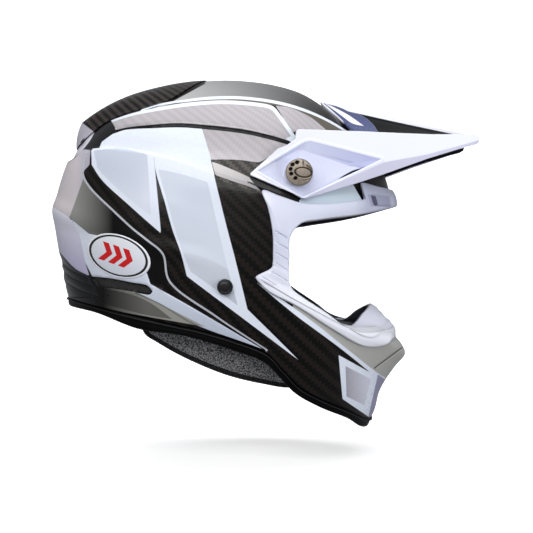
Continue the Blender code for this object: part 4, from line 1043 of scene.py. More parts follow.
RECESS_FLOOR = chain((63.2, 92.2), (69.5, 92.1), (110.9, 78.3), (121.5, 76.6), [(96.4, 65.2), (67.4, 52.2)],
    (32.4, 72.6))
RECESS_DEPTH = 3.4
FLOOR_FACET = [(82, 88.5), (101, 84.6), (110.9, 78.3)]
WING_SLIT = chain([(107, 71.6), (114.5, 75.2), (122.6, 77.2)], [(110.9, 71.9), (98.5, 66.2)])
BEVEL_LINE = [(60, 44.5), (67, 48.8), (138.3, 80.9), (175.5, 87.6), (212, 97.4), (224, 101.0)]
BEVEL_SLOPE = 0.62
WING_CLEARANCE = 4.4
TOP_BLACK = chain([(147.4, 116.6), (206, 104.2)], [(199.4, 102), (161.5, 104), (134.5, 105)],
    [(129.2, 113.6), (119.4, 121.6), (107, 125.6)])
TOP_BLUE = chain([(99.7, 129), (107, 125.6)], [(119.4, 121.6), (129.2, 113.6), (134.5, 105)], (110, 104),
    [(104.5, 114.6), (93.2, 125.8), (83, 134.4)])
TOP_WHITE = chain([(94.8, 129.0), (108.1, 121.8), (121, 112.6)], [(110.9, 114.9), (101.8, 121.3),
    (91.3, 129), (85.5, 133.2)])
BOSS_RADIUS = 11.2


def stations(which):
    """An edge of the wing through every station, with the station's own number of columns before it."""
    parts = [np.array([WING_STATIONS[0][which]], float)]
    for before, after in zip(WING_STATIONS, WING_STATIONS[1:]):
        t = np.linspace(0, 1, after[2] + 1)[1:, None]
        parts.append((1 - t) * np.array(before[which], float) + t * np.array(after[which], float))
    return np.vstack(parts)


def eased(line, passes=2):
    """The same line with its corners slightly rounded."""
    line = np.array(line)
    for _ in range(passes):
        line[1:-1] = (line[:-2] + 2 * line[1:-1] + line[2:]) / 4
    return line


def wing_relief(e):
    """How far the wing's moulding stands off its plain sheet, in mm, at elevation places e."""
    d0 = region(RECESS_EDGE, e)
    d1 = region(RECESS_FLOOR, e)
    share = np.where(d0 <= 0, 0, np.where(d1 >= 0, 1, d0 / np.maximum(d0 - d1, 1e-6)))
    share = np.where(d0 >= FAR, 1, share)
    facet, side, _ = along(np.array(FLOOR_FACET), e)
    fold = 0.8 * smooth(5, 0, facet) * (side < 0) * (d0 > 0) * (share < 1)
    rim = 0.5 * smooth(1.6, 0.2, np.abs(d0 + 1.2))
    slit = 3.0 * smooth(-0.1, 0.7, region(WING_SLIT, e))
    away, side, _ = along(np.array(BEVEL_LINE), e)
    bevel = BEVEL_SLOPE * np.maximum(away - 0.3, 0) * (side < 0)
    return rim - RECESS_DEPTH * share - fold * 0.6 - slit - bevel


def wing_surface(seat):
    """The wing's plain sheet and the same with its relief and the flat round its screw, as grids in mm."""
    high, low = eased(stations(0)), eased(stations(1))
    v = np.linspace(0, 1, WING_ROWS)[None, :, None]
    grid = (1 - v) * low[:, None] + v * high[:, None]
    keep_out = np.hypot(grid[..., 0] - POLE[0], grid[..., 2] - POLE[1])
    inside_skin = keep_out < reach(np.arctan2(grid[..., 2] - POLE[1], grid[..., 0] - POLE[0])) - 1
    clear = np.where(inside_skin, side_y(grid[..., 0], grid[..., 2]) + WING_CLEARANCE, 0)
    plain = grid.copy()
    plain[..., 1] = np.maximum(grid[..., 1], clear)
    e = elevation(plain).reshape(-1, 2)
    lift = wing_relief(e).reshape(plain.shape[:2])
    normals = grid_normals(plain)
    body = plain + normals * lift[..., None]
    body[..., 1] = np.maximum(body[..., 1], clear - 0.8)
    r = np.hypot(body[..., 0] - PIVOT[0], body[..., 2] - PIVOT[1])
    boss = smooth(BOSS_RADIUS + 0.8, BOSS_RADIUS, r)
    body[..., 1] = body[..., 1] * (1 - boss) + (seat - 0.2) * boss
    return plain, body


def top_surface(edge):
    """The visor's gabled top, from the wing's top edge to the crest on the mid-plane."""
    rear, front = spline(REAR_EDGE, TOP_ROWS), spline(FRONT_EDGE, TOP_ROWS)
    t = np.linspace(0, 1, len(edge))[:, None, None]
    grid = (1 - t) * rear[None] + t * front[None]
    r = np.linspace(0, 1, TOP_ROWS)[None, :, None]
    miss = edge[:, None] - grid[:, -1:]
    grid = grid + miss * r ** 2
    e = elevation(grid).reshape(-1, 2)
    sink = 1.2 * smooth(0.0, 1.2, region(TOP_BLACK, e)).reshape(grid.shape[:2])
    crest = 0.8 * smooth(3.0, 1.0, grid[..., 1])
    grid[..., 2] += crest - sink
    return grid[:, ::-1]


def add_wall_group(ob, points):
    """The wall thins towards the peak's front edge; the group holds each place's share of the full wall."""
    group = ob.vertex_groups.new(name="wall")
    share = smooth(214, 178, points[:, 0])
    for step in range(11):
        pick = np.nonzero(np.round(share * 10).astype(int) == step)[0]
        if len(pick):
            group.add(pick.tolist(), step / 10, "REPLACE")
    return group.name


def visor_skin(wing, top, first):
    """The wing's grid and the top's as one surface, joined along the wing's top edge from column first on."""
    nu, nv = wing.shape[:2]
    base, tu, tv = nu * nv, top.shape[0], top.shape[1] - 1

    def spot(i, j):
        return (first + i) * nv + nv - 1 if j == 0 else base + i * tv + j - 1

    faces = quads(nu, nv)
    faces += [(spot(i, j), spot(i + 1, j), spot(i + 1, j + 1), spot(i, j + 1))
              for i in range(tu - 1) for j in range(tv)]
    points = np.vstack([wing.reshape(-1, 3), top[:, 1:].reshape(-1, 3)])
    ob = add_object("visor_moulding", points, faces)
    ob.data.update()
    out = sum(p.normal.y * p.area for p in ob.data.polygons[:(nu - 1) * (nv - 1)])
    if out < 0:
        ob.data.flip_normals()
    return mirror(ob), points


def thicken(ob, points):
    """The visor's wall, grown inward, with the underside's own finish."""
    wall = ob.modifiers.new("Solidify", "SOLIDIFY")
    wall.thickness = VISOR_WALL * MM
    wall.offset = -1
    wall.use_even_offset = False
    wall.material_offset = 1
    wall.vertex_group = add_wall_group(ob, points)
    wall.thickness_vertex_group = 0.15


def visor_marks(ob, places, on_wing):
    """Stores the visor's paint layout at each point."""
    e = elevation(places)
    wing_areas = {"recess": RECESS_EDGE, "floor": RECESS_FLOOR, "slit": WING_SLIT}
    top_areas = {"top_black": TOP_BLACK, "top_blue": TOP_BLUE, "top_white": TOP_WHITE}
    for areas, part in ((wing_areas, on_wing), (top_areas, ~on_wing)):
        for name, runs in areas.items():
            mark(ob, name, np.where(part, region(runs, e), -FAR))
    away, side, _ = along(np.array(BEVEL_LINE), e)
    mark(ob, "bevel", np.where(on_wing, -away * side, -FAR))
    mark_flat(ob, "elevation", e)
    mark(ob, "crest", np.where(on_wing, 50.0, places[:, 1]))


def make_visor():
    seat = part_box("visor_washer_left")[0].y / MM
    plain, wing = wing_surface(seat)
    first = sum(s[2] for s in WING_STATIONS[:FIRST_TOP_STATION + 1])
    last = sum(s[2] for s in WING_STATIONS[:LAST_TOP_STATION + 1])
    top = top_surface(wing[first:last + 1, -1])
    ob, points = visor_skin(wing, top, first)
    thicken(ob, points)
    places = np.vstack([plain.reshape(-1, 3), top[:, 1:].reshape(-1, 3)])
    visor_marks(ob, places, np.arange(len(points)) < wing.shape[0] * wing.shape[1])
    settle(ob, "visor", "white_plastic", visor_paint(), "visor")
    ob.data.materials.append(visor_under())


def visor_paint():
    g = Graph("visor_paint")
    where = g.place()
    x, z, _ = g.axes(g.attribute("elevation", "Vector"))
    p = Paint(g, srgb(238, 240, 252), (0.3, 0.0, 0.0))
    # the bevel's downward face painted a darker lavender: painted shade
    p.lay(g.span(g.attribute("bevel"), -0.3, 0.5), srgb(222, 222, 242), 0.32)
    # the recess's slope and floor painted darker lavender: painted shade
    band = g.ramp(x, 70, 125, srgb(206, 210, 232), srgb(186, 190, 226))
    p.fill("recess", band, 0.3)
    p.fill("floor", g.ramp(x, 35, 110, srgb(210, 214, 238), srgb(222, 225, 244)), 0.3)
    # the slit painted black: painted shade
    p.fill("slit", (0.006, 0.006, 0.008), 0.5)
    p.fill("top_blue", g.ramp(z, 106, 130, srgb(84, 92, 132), srgb(56, 66, 112)), 0.25)
    p.fill("top_white", srgb(240, 240, 238), 0.25)
    p.fill("top_black", srgb(1, 1, 1), 0.6)
    p.lay(g.span(g.attribute("crest"), 3.4, 3.0), srgb(226, 226, 230), 0.3)
    rough, _, _ = g.axes(p.finish)
    fine = g.noise(0.9, where, 3.0)
    rough = g.plus(rough, g.span(fine, 0.3, 0.7, -0.03, 0.04))
    return g.finish(Base_Color=p.colour, Roughness=rough, Normal=g.bump(fine, 0.00004, 0.2), Coat_Weight=0.2,
                    Coat_Roughness=0.1, Specular_IOR_Level=0.35)


def visor_under():
    g = Graph("visor_under")
    fine = g.noise(1.6, g.place(), 4.0)
    colour = g.ramp(fine, 0.3, 0.7, srgb(24, 24, 28), srgb(38, 38, 44))
    return g.finish(Base_Color=colour, Roughness=0.55, Normal=g.bump(fine, 0.0001, 0.4))


# ---------------------------------------------------------------- visor side screws
HEAD_RADIUS, HEAD_RISE = 10.8, 3.9
HOLES = [(-0.155, 0.714), (-0.476, 0.56), (-0.62, 0.22), (-0.583, -0.12), (-0.274, -0.44)]
HOLE_RADIUS = 0.125
OVAL_AT, OVAL_SIZE, OVAL_TILT = (0.31, -0.02), (0.62, 0.35), -7.0
LINE_GROOVES = [[(0.30, 0.98), (0.30, 0.52)], [(0.55, 0.50), (0.93, 0.22)], [(0.30, -0.60), (0.72, -0.50)]]


def head_height(u, w):
    """Height of the screw's face in mm at face place (u, w), in radii."""
    r = np.hypot(u, w)
    h = 0.5 * (1 - r ** 2)
    for hu, hw in HOLES:
        h -= 2.0 * smooth(HOLE_RADIUS + 0.03, HOLE_RADIUS - 0.02, np.hypot(u - hu, w - hw))
    c, s = math.cos(math.radians(OVAL_TILT)), math.sin(math.radians(OVAL_TILT))
    a = ((u - OVAL_AT[0]) * c + (w - OVAL_AT[1]) * s) / OVAL_SIZE[0]
    b = (-(u - OVAL_AT[0]) * s + (w - OVAL_AT[1]) * c) / OVAL_SIZE[1]
    ring = np.hypot(a, b)
    h += 0.45 * smooth(0.92, 0.80, ring) - 0.75 * smooth(0.16, 0.04, np.abs(ring - 1.0)) * (r < 0.97)
    flat = np.stack([u.ravel(), w.ravel()], axis=1)
    for line in LINE_GROOVES:
        away = along(np.array(line), flat)[0].reshape(u.shape)
        h -= 0.6 * smooth(0.045, 0.02, away)
    return h - 0.9 * smooth(0.90, 1.0, r) ** 2


def make_screws():
    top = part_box("visor_screw_left")[1].y / MM
    spokes, rings = 150, 56
    a = np.linspace(0, 2 * math.pi, spokes, endpoint=False)
    r = np.linspace(0, 1, rings)[1:]
    u, w = r[None, :] * np.cos(a)[:, None], r[None, :] * np.sin(a)[:, None]
    face = head_height(u, w)
    hollow = smooth(-0.2, -0.9, face - 0.5 * (1 - r[None, :] ** 2) + 0.9 * smooth(0.90, 1.0, r[None, :]) ** 2)
    y = top - 0.5 + face
    base = top - HEAD_RISE
    sides = [(1.0, top - 1.9), (1.0, base + 0.5), (0.97, base), (0.27, base), (0.27, base - 15.5),
             (0.2, base - 16.2)]
    shade = [0.0]
    for i in range(spokes):
        shade += [*hollow[i], *[0.85 + 0 * h for _, h in sides]]
    for word, sign in (("left", 1), ("right", -1)):
        points = [(PIVOT[0], sign * (top - 0.5 + float(head_height(np.zeros(1), np.zeros(1))[0])), PIVOT[1])]
        for i in range(spokes):
            for j in range(rings - 1):
                points.append((PIVOT[0] + HEAD_RADIUS * u[i, j], sign * y[i, j],
                               PIVOT[1] + HEAD_RADIUS * w[i, j]))
            for rad, h in sides:
                knurl = 1.0 - (0.025 if rad == 1.0 and i % 5 == 0 else 0.0)
                points.append((PIVOT[0] + HEAD_RADIUS * rad * knurl * math.cos(a[i]), sign * h,
                               PIVOT[1] + HEAD_RADIUS * rad * knurl * math.sin(a[i])))
        ob = single_mesh(f"quarter_turn_screw_{word}", points, fan(spokes, rings - 1 + len(sides)))
        mark(ob, "hollow", shade)
        settle(ob, f"screw_{word}", "titanium", screw_metal(), f"visor_screw_{word}")


@cache
def screw_metal():
    g = Graph("screw_metal")
    where = g.place()
    blast = g.noise(3.2, where, 4.0, 0.7)
    blotch = g.noise(0.5, where, 2.0)
    colour = g.ramp(blast, 0.35, 0.65, srgb(146, 134, 120), srgb(188, 176, 162))
    colour = g.mix(g.span(blotch, 0.45, 0.7, 0.0, 0.35), colour, srgb(118, 106, 94))
    # the face's holes and grooves and the head's side painted dark brown: painted shade
    colour = g.mix(g.attribute("hollow"), colour, srgb(26, 23, 21))
    return g.finish(Base_Color=colour, Metallic=0.85, Roughness=g.span(blast, 0.3, 0.7, 0.3, 0.48),
                    Normal=g.bump(blast, 0.00012, 0.5))

# ---------------------------------------------------------------- upper-rear fin
FIN_LOW = [(-18, 149), (-30, 138.5), (-42.9, 128.8), (-62, 121.6), (-97, 111.5), (-110, 103.5), (-126, 92)]
FIN_TOP = [(-16, 151), (-130.5, 90.5)]
FIN_RISE, FIN_COLUMNS, FIN_ROWS = 9.6, 190, 40
UNDER_STEP = 4             # rows of the fin's top for each row of its underside
FIN_PEAK = 0.845           # share of its length where the fin stands highest, before its rear face


def make_fin():
    """The raised trailing fin, thin at its front and standing clear of the shell at the back."""
    low = edge_curve(FIN_LOW, FIN_COLUMNS, (False, False))
    top = mid_curve(to_disc([FIN_TOP[0]])[0], to_disc([FIN_TOP[1]])[0], FIN_COLUMNS, 1)
    v = np.linspace(0, 1, FIN_ROWS)[None, :, None]
    q = (1 - v) * low[:, None] + v * top[:, None]
    s = np.linspace(0, 1, FIN_COLUMNS)[:, None]
    across = v[..., 0]
    past = np.maximum(s - FIN_PEAK, 0) / (1 - FIN_PEAK)
    ramp = np.where(s < FIN_PEAK, (s / FIN_PEAK) ** 1.4, 1 - past ** 1.15)
    rise = 0.9 + FIN_RISE * ramp * smooth(-0.05, 0.5, across)
    rise = rise + 0.9 * smooth(0.72, 0.80, across) * ramp
    outer = from_disc(q, -rise)
    under = from_disc(q[:, ::UNDER_STEP], -np.maximum(rise[:, ::UNDER_STEP] - 3.0, 0.3))
    rails = [outer[:, j] for j in range(FIN_ROWS)] + [under[:, j] for j in range(under.shape[1] - 1, -1, -1)]
    grid = np.stack(rails, axis=1)
    nu, nv = grid.shape[:2]
    faces = [(i * nv + j, (i + 1) * nv + j, (i + 1) * nv + j + 1, i * nv + j + 1)
             for i in range(nu - 1) for j in range(nv - 1) if j != FIN_ROWS - 1]
    faces += [(i * nv, i * nv + nv - 1, (i + 1) * nv + nv - 1, (i + 1) * nv) for i in range(nu - 1)]
    for k in (0, (nu - 1) * nv):
        for m in range(under.shape[1] - 1):
            j, w = m * UNDER_STEP, nv - 1 - m
            last = min(j + UNDER_STEP, FIN_ROWS - 1)
            faces.append(tuple(k + a for a in [*range(j, last + 1), w - 1, w]))
    ob = recalc(half_mesh("rear_fin", grid.reshape(-1, 3), faces))
    settle(ob, "shell", "carbon", fin_paint(), "rear_spoiler")
    mark(ob, "edge", np.tile(np.concatenate([across[0], np.zeros(under.shape[1])]), nu))
    mark(ob, "run", np.repeat(s[:, 0], nv))
    mark_flat(ob, "fibre", np.concatenate([q, q[:, ::UNDER_STEP][:, ::-1]], axis=1), FIBRE_SPAN)


def fin_paint():
    g = Graph("fin_paint")
    fibre = g.attribute("fibre", "Vector")
    warp, height, lines = weave_of(g, fibre, TOW)
    dark = g.mix(warp, srgb(6, 5, 5), srgb(64, 57, 53))
    dark = g.mix(g.span(lines, 0.0, 0.5, 0.0, 0.25), dark, (0.0, 0.0, 0.0))
    crest = g.span(g.attribute("edge"), 0.80, 0.84)
    colour = g.mix(crest, dark, srgb(64, 60, 58))
    rear_face = g.span(g.attribute("run"), FIN_PEAK - 0.004, FIN_PEAK + 0.004)
    colour = g.mix(rear_face, colour, srgb(196, 193, 204))
    return g.finish(Base_Color=colour, Roughness=g.span(crest, 0.0, 1.0, 0.3, 0.5),
                    Metallic=g.span(crest, 0.0, 1.0, 0.2, 0.1), Normal=g.bump(height, 0.0001, 0.3),
                    Coat_Weight=0.22, Coat_Roughness=0.08, Specular_IOR_Level=0.35)


# ---------------------------------------------------------------- side badge
BADGE_AT, BADGE_SIZE, BADGE_TILT = (-84, -1.5), (28, 17), -18.0
CHEVRONS = [-10.0, -1.0, 8.0]


def badge_axes(x, z):
    """Place on the badge face along and across it, in mm from its middle."""
    c, s = math.cos(math.radians(BADGE_TILT)), math.sin(math.radians(BADGE_TILT))
    dx, dz = x - BADGE_AT[0], z - BADGE_AT[1]
    return dx * c + dz * s, -dx * s + dz * c


def polar_plate(outline_of, spokes, rings, height_of, floor):
    """Points and faces of a closed plate on the skin: outline_of(angle, share) gives (x, z)."""
    a = np.linspace(0, 2 * math.pi, spokes, endpoint=False)
    share = np.linspace(0, 1, rings)
    x, z = outline_of(a[:, None], share[None, 1:])
    base = side_y(x, z)
    y = base + height_of(np.broadcast_to(share[None, 1:], x.shape))
    x0, z0 = outline_of(np.zeros((1, 1)), np.zeros((1, 1)))
    y0 = side_y(x0, z0) + height_of(np.zeros((1, 1)))
    points = [(float(x0[0, 0]), float(y0[0, 0]), float(z0[0, 0]))]
    marks = [(float(x0[0, 0]), float(z0[0, 0]), 0.0)]
    for i in range(spokes):
        for j in range(rings - 1):
            points.append((x[i, j], y[i, j], z[i, j]))
            marks.append((x[i, j], z[i, j], share[j + 1]))
        points.append((x[i, -1], base[i, -1] + floor, z[i, -1]))
        marks.append((x[i, -1], z[i, -1], 1.0))
    return np.array(points), fan(spokes, rings), np.array(marks)


def both_sides(name, points, faces, slot, material, node):
    """The same piece on the left and, mirrored, on the right. node has {} for the side's word."""
    made = []
    for word, sign in (("left", 1), ("right", -1)):
        ob = single_mesh(f"{name}_{word}", points * np.array([1, sign, 1]), faces)
        settle(ob, "shell", slot, material, node.format(word))
        made.append(ob)
    return made


def make_badges():
    c, s = math.cos(math.radians(BADGE_TILT)), math.sin(math.radians(BADGE_TILT))

    def ellipse(a, share):
        u, v = BADGE_SIZE[0] * np.cos(a) * share, BADGE_SIZE[1] * np.sin(a) * share
        return BADGE_AT[0] + u * c - v * s, BADGE_AT[1] + u * s + v * c

    def height(share):
        rim = 0.35 * smooth(0.90, 0.93, share)
        return 1.3 + 0.72 * (1 - share ** 2) ** 0.5 + rim - smooth(0.965, 1.0, share) ** 2

    points, faces, marks = polar_plate(ellipse, 160, 48, height, 0.3)
    for ob in both_sides("oval_badge", points, faces, "white_plastic", badge_face(), "badge_plate_{}"):
        along_badge, across = badge_axes(marks[:, 0], marks[:, 1])
        mark(ob, "share", marks[:, 2])
        mark(ob, "along", along_badge)
        mark(ob, "across", across)


def badge_face():
    g = Graph("badge_face")
    share, u, v = g.attribute("share"), g.attribute("along"), g.attribute("across")
    colour = g.ramp(v, -14, 14, srgb(214, 219, 230), srgb(240, 242, 248))
    bend = g.times(g.size(v), 0.75)
    inside = g.math("LESS_THAN", g.size(v), 7.4)
    for centre in CHEVRONS:
        off = g.size(g.minus(g.plus(u, bend), centre + 2.6))
        bar = g.times(g.span(off, 2.9, 2.6), inside)
        colour = g.mix(bar, colour, srgb(208, 8, 12))
    ring = g.times(g.span(share, 0.845, 0.852), g.span(share, 0.932, 0.925))
    colour = g.mix(ring, colour, (0.006, 0.006, 0.007))
    colour = g.ramp(share, 0.921, 0.928, colour, srgb(240, 242, 248))
    fine = g.noise(0.8, g.place(), 3.0)
    return g.finish(Base_Color=colour, Roughness=g.span(fine, 0.3, 0.7, 0.26, 0.34), Coat_Weight=0.5,
                    Coat_Roughness=0.06, Normal=g.bump(fine, 0.00003, 0.2))


# ---------------------------------------------------------------- vent grilles
def make_grilles(name, runs, out, fit, height, floor, material, node, front=math.inf):
    """A pair of grilles behind a slot that is seen at out mm from the mid-plane. fit scales the slot along and
    up, and front is as far forward as it may reach."""
    ring = outline(runs)
    ring = resample(np.vstack([ring, ring[:1]]), 121)[:-1]
    grow = VIEW_REACH / (VIEW_REACH - out)
    ring = np.stack([VIEW_X + (ring[:, 0] - VIEW_X) / grow, ring[:, 1] / grow], axis=1)
    ring[:, 0] = np.minimum(ring[:, 0], front)
    centre = ring.mean(axis=0)

    def slot(a, share):
        k = np.round(a / (2 * math.pi) * len(ring)).astype(int) % len(ring)
        return tuple(centre[n] + (ring[k, n] - centre[n]) * share * fit[n] for n in (0, 1))

    points, faces, _ = polar_plate(slot, 120, 14, lambda share: height + 0 * share, floor)
    both_sides(name, points, faces, "wire_mesh", material, node)


def make_rear_vents():
    make_grilles("rear_vent_grille", PAINT_REGIONS["vent_slot"], 118, (1.04, 1.12), -1.9, -2.6, mesh_metal(),
                 "rear_vent_mesh_{}")


def make_brow_grilles():
    pale = mesh_metal("mesh_pale", srgb(150, 150, 178), srgb(70, 70, 92))
    make_grilles("brow_grille", BROW_SLOT, 45, (0.94, 0.94), 7.0, 2.4, pale, "brow_vent_mesh_{}", 139)


@cache
def mesh_metal(name="mesh_metal", wire=srgb(52, 50, 50), hole_shade=(0.001, 0.001, 0.001)):
    g = Graph(name)
    where = g.node("ShaderNodeMapping", {"Vector": g.place(), "Rotation": (0.0, 0.785, 0.0)}).outputs[0]
    x, _, z = g.axes(where)
    wires = [g.size(g.wave(a, 2.4)) for a in (x, z)]
    thread = g.math("MINIMUM", wires[0], wires[1])
    hole = g.span(thread, 0.3, 0.42)
    # the holes between the wires painted dark: painted shade behind the mesh
    colour = g.mix(hole, wire, hole_shade)
    return g.finish(Base_Color=colour, Roughness=0.45, Metallic=g.span(hole, 0.0, 1.0, 0.4, 0.0),
                    Normal=g.bump(g.minus(1.0, thread), 0.0005, 0.8))


# ---------------------------------------------------------------- rivet covers
def make_rivet_covers():
    for word in ("left", "right"):
        low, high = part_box(f"rivet_cover_{word}")
        sign = 1 if word == "left" else -1
        x, z = (low.x + high.x) / 2 / MM, (low.z + high.z) / 2 / MM
        radius = (high.x - low.x) / 2 / MM
        inner, outer = sorted((abs(low.y) / MM, abs(high.y) / MM))
        tall = outer - inner
        profile = [(0.12, 1.0), (0.3, 0.99), (0.5, 0.965), (0.62, 0.93), (0.66, 0.86), (0.70, 0.93), (0.80, 0.88),
                   (0.92, 0.70), (0.99, 0.42), (1.0, 0.15), (0.98, 0.0)]
        points, faces = turned_points(profile, radius, tall, 96)
        points = np.stack([x + points[:, 0], sign * (inner + points[:, 2]), z + points[:, 1]], axis=1)
        ob = single_mesh(f"rivet_button_{word}", points, faces)
        settle(ob, "shell", "black_plastic", black_plastic(), f"rivet_cover_{word}")


def turned_points(profile, radius, tall, steps):
    """A capped turned body about +Z: profile is (share of radius, share of height) from its top down."""
    a = np.linspace(0, 2 * math.pi, steps, endpoint=False)
    points = [(0.0, 0.0, profile[0][1] * tall)]
    for t in a:
        points += [(radius * r * math.cos(t), radius * r * math.sin(t), h * tall) for r, h in profile]
    return np.array(points), fan(steps, len(profile))


@cache
def black_plastic():
    g = Graph("black_plastic_grain")
    grain = g.noise(2.0, g.place(), 4.0)
    colour = g.ramp(grain, 0.3, 0.7, srgb(4, 4, 5), srgb(12, 12, 14))
    return g.finish(Base_Color=colour, Roughness=g.span(grain, 0.3, 0.7, 0.26, 0.4),
                    Normal=g.bump(grain, 0.00012, 0.4))

# ---------------------------------------------------------------- pads and fabric
CHEEK_PAD = [
    (-66, -60), (-60, -42), (-34, -32), (-20, -36), (-14, -46), (20, -46), (26, -36), (40, -27), (54, -36),
    (70, -52), (82, -66), (84, -88), (75, -105), (54, -109.5), (30, -105.6), (6, -99.6), (-16, -91.6), (-38, -81.6),
    (-54, -72.6), (-63.5, -66.5),
]
PAD_OUT, PAD_IN, PAD_DEPTH, PAD_LEAST = 98.0, 66.0, 18.0, 14
PAD_COLUMNS, PAD_RINGS = 260, 34
PAD_SEAM = 3.4
PAD_CHANNELS = [[(-40, -36), (-36, -60), (-44, -82)], [(0, -46), (4, -72), (2, -99)],
                [(44, -30), (40, -66), (44, -109)]]
EDGE_HALF = 5.5                   # half the pad's thickness at its outline, mm
EDGE_STEPS = (0.7, 0.35, 0.0, -0.35, -0.7)


def pad_outer(x, z):
    """How far out a pad may reach: its own limit, or the skin sunk by its depth."""
    return np.minimum(PAD_OUT, side_y(x, z, PAD_DEPTH))


def ring_places(outline_points, count, rings):
    """An outline's middle, its even points, and places inside it on shrinking rings."""
    ring = spline(outline_points, count + 1, closed=True)[:-1]
    centre = ring.mean(axis=0)
    share = np.linspace(0, 1, rings)[1:] ** 0.8
    places = centre + (ring[:, None] - centre) * share[None, :, None]
    return centre, ring, places


def pad_points():
    """A pad's points, face by face and then round its edge, with each one's distance from the outline."""
    centre, ring, places = ring_places(CHEEK_PAD, PAD_COLUMNS, PAD_RINGS)
    x, z = places[..., 0], places[..., 1]
    flat = places.reshape(-1, 2)
    closed = np.vstack([ring, ring[:1]])
    margin = along(closed, flat)[0].reshape(x.shape)
    full = 1 - (1 - np.clip(margin / 15.0, 0, 1)) ** 2.6
    groove = sum(1.7 * smooth(2.6, 0.3, along(spline(line, 40), flat)[0]) for line in PAD_CHANNELS)
    groove = groove.reshape(x.shape)
    seam = 1.0 * smooth(0.9, 0.1, np.abs(margin - PAD_SEAM))
    wobble = 0.35 * np.sin(x * 0.21 + 1.3 * np.sin(z * 0.17)) * np.sin(z * 0.19 + 0.6)
    outer_y = pad_outer(x, z)
    inner_y = np.minimum(PAD_IN, outer_y - PAD_LEAST)
    mid, half = (outer_y + inner_y) / 2, (outer_y - inner_y) / 2
    thick = EDGE_HALF + (half - EDGE_HALF) * full
    face_out = mid + thick - (groove * 0.5 + seam) * (margin > 0.6) + wobble * full * 0.6
    face_in = mid - thick + (groove + seam) * (margin > 0.6) - wobble * full
    face_out = np.minimum(face_out, outer_y)
    c_out = float(pad_outer(centre[0], centre[1]))
    c_in = min(PAD_IN, c_out - PAD_LEAST)
    points, marks = [(centre[0], c_out, centre[1]), (centre[0], c_in, centre[1])], [20.0, 20.0]
    for face in (face_out, face_in):
        points += list(zip(x.ravel(), face.ravel(), z.ravel()))
        marks += list(margin.ravel())
    out_dir = ring - centre
    out_dir /= np.linalg.norm(out_dir, axis=1, keepdims=True)
    for t in EDGE_STEPS:
        swell = 2.0 * math.cos(t * math.pi / 2) - 0.3
        for i in range(PAD_COLUMNS):
            px, pz = ring[i] + out_dir[i] * swell * 0.9
            points.append((px, mid[i, -1] + t * EDGE_HALF, pz))
            marks.append(0.0)
    return np.array(points), marks


def pad_faces(n):
    """The faces of a pad: its two fanned faces of n rings and the rows round its edge."""
    block, last = PAD_COLUMNS * n, len(EDGE_STEPS) - 1
    faces = []

    def spot(side, i, j):
        return 2 + side * block + (i % PAD_COLUMNS) * n + j

    def edge(k, i):
        return 2 + 2 * block + k * PAD_COLUMNS + i % PAD_COLUMNS

    for i in range(PAD_COLUMNS):
        faces.append((0, spot(0, i, 0), spot(0, i + 1, 0)))
        faces.append((1, spot(1, i + 1, 0), spot(1, i, 0)))
        for j in range(n - 1):
            faces.append((spot(0, i, j), spot(0, i, j + 1), spot(0, i + 1, j + 1), spot(0, i + 1, j)))
            faces.append((spot(1, i, j), spot(1, i + 1, j), spot(1, i + 1, j + 1), spot(1, i, j + 1)))
        faces.append((spot(0, i, n - 1), edge(0, i), edge(0, i + 1), spot(0, i + 1, n - 1)))
        for k in range(last):
            faces.append((edge(k, i), edge(k + 1, i), edge(k + 1, i + 1), edge(k, i + 1)))
        faces.append((edge(last, i), spot(1, i, n - 1), spot(1, i + 1, n - 1), edge(last, i + 1)))
    return faces


def make_cheek_pads():
    """Each pad: a foam block in brushed heather knit, its outline bound in black tape with a stitched seam."""
    points, marks = pad_points()
    for ob in both_sides("cheek_cushion", points, pad_faces(PAD_RINGS - 1), "heather_fabric", pad_cloth(),
                         "cheek_pad_{}"):
        mark(ob, "margin", marks)


def knit(g, where, pitch):
    """Brushed knit: tangled fibre height, 0..1."""
    warp = g.node("ShaderNodeTexNoise", {"Vector": where, "Scale": 0.5, "Detail": 2.0}).outputs["Color"]
    bent = g.mix(0.25, where, warp, "ADD")
    fuzz = g.noise(1.0 / pitch, bent, 5.0, 0.75)
    loops = g.voronoi(1.0 / pitch, where, randomness=0.75)
    return g.plus(g.times(fuzz, 0.7), g.times(loops, 0.5))


def pad_cloth():
    g = Graph("pad_cloth")
    where = g.place()
    height = knit(g, where, 0.9)
    fleck = g.noise(0.8, where, 3.0, 0.7)
    colour = g.ramp(fleck, 0.42, 0.58, srgb(34, 34, 36), srgb(196, 195, 196))
    colour = g.mix(g.span(height, 0.2, 0.8, 0.5, 0.0), colour, srgb(20, 20, 22))
    margin = g.attribute("margin")
    x, _, z = g.axes(where)
    tape_ribs = g.size(g.wave(g.plus(x, z), 3.2))
    tape = g.mix(tape_ribs, srgb(5, 5, 6), srgb(22, 21, 22))
    on_tape = g.span(margin, PAD_SEAM + 0.15, PAD_SEAM - 0.15)
    colour = g.mix(on_tape, colour, tape)
    slant = g.plus(x, g.times(z, 0.8))
    dash = g.math("GREATER_THAN", g.wave(slant, 1.9), -0.3)
    line = g.times(g.span(g.size(g.minus(margin, 2.4)), 0.42, 0.25), dash)
    colour = g.mix(line, colour, srgb(44, 42, 44))
    bumps = g.plus(g.times(height, g.minus(1.0, on_tape)),
                   g.plus(g.times(tape_ribs, g.times(on_tape, 0.4)), line))
    return g.finish(Base_Color=colour, Roughness=0.95, Normal=g.bump(bumps, 0.0006, 0.9), Sheen_Weight=0.12,
                    Sheen_Roughness=0.5, Specular_IOR_Level=0.15)


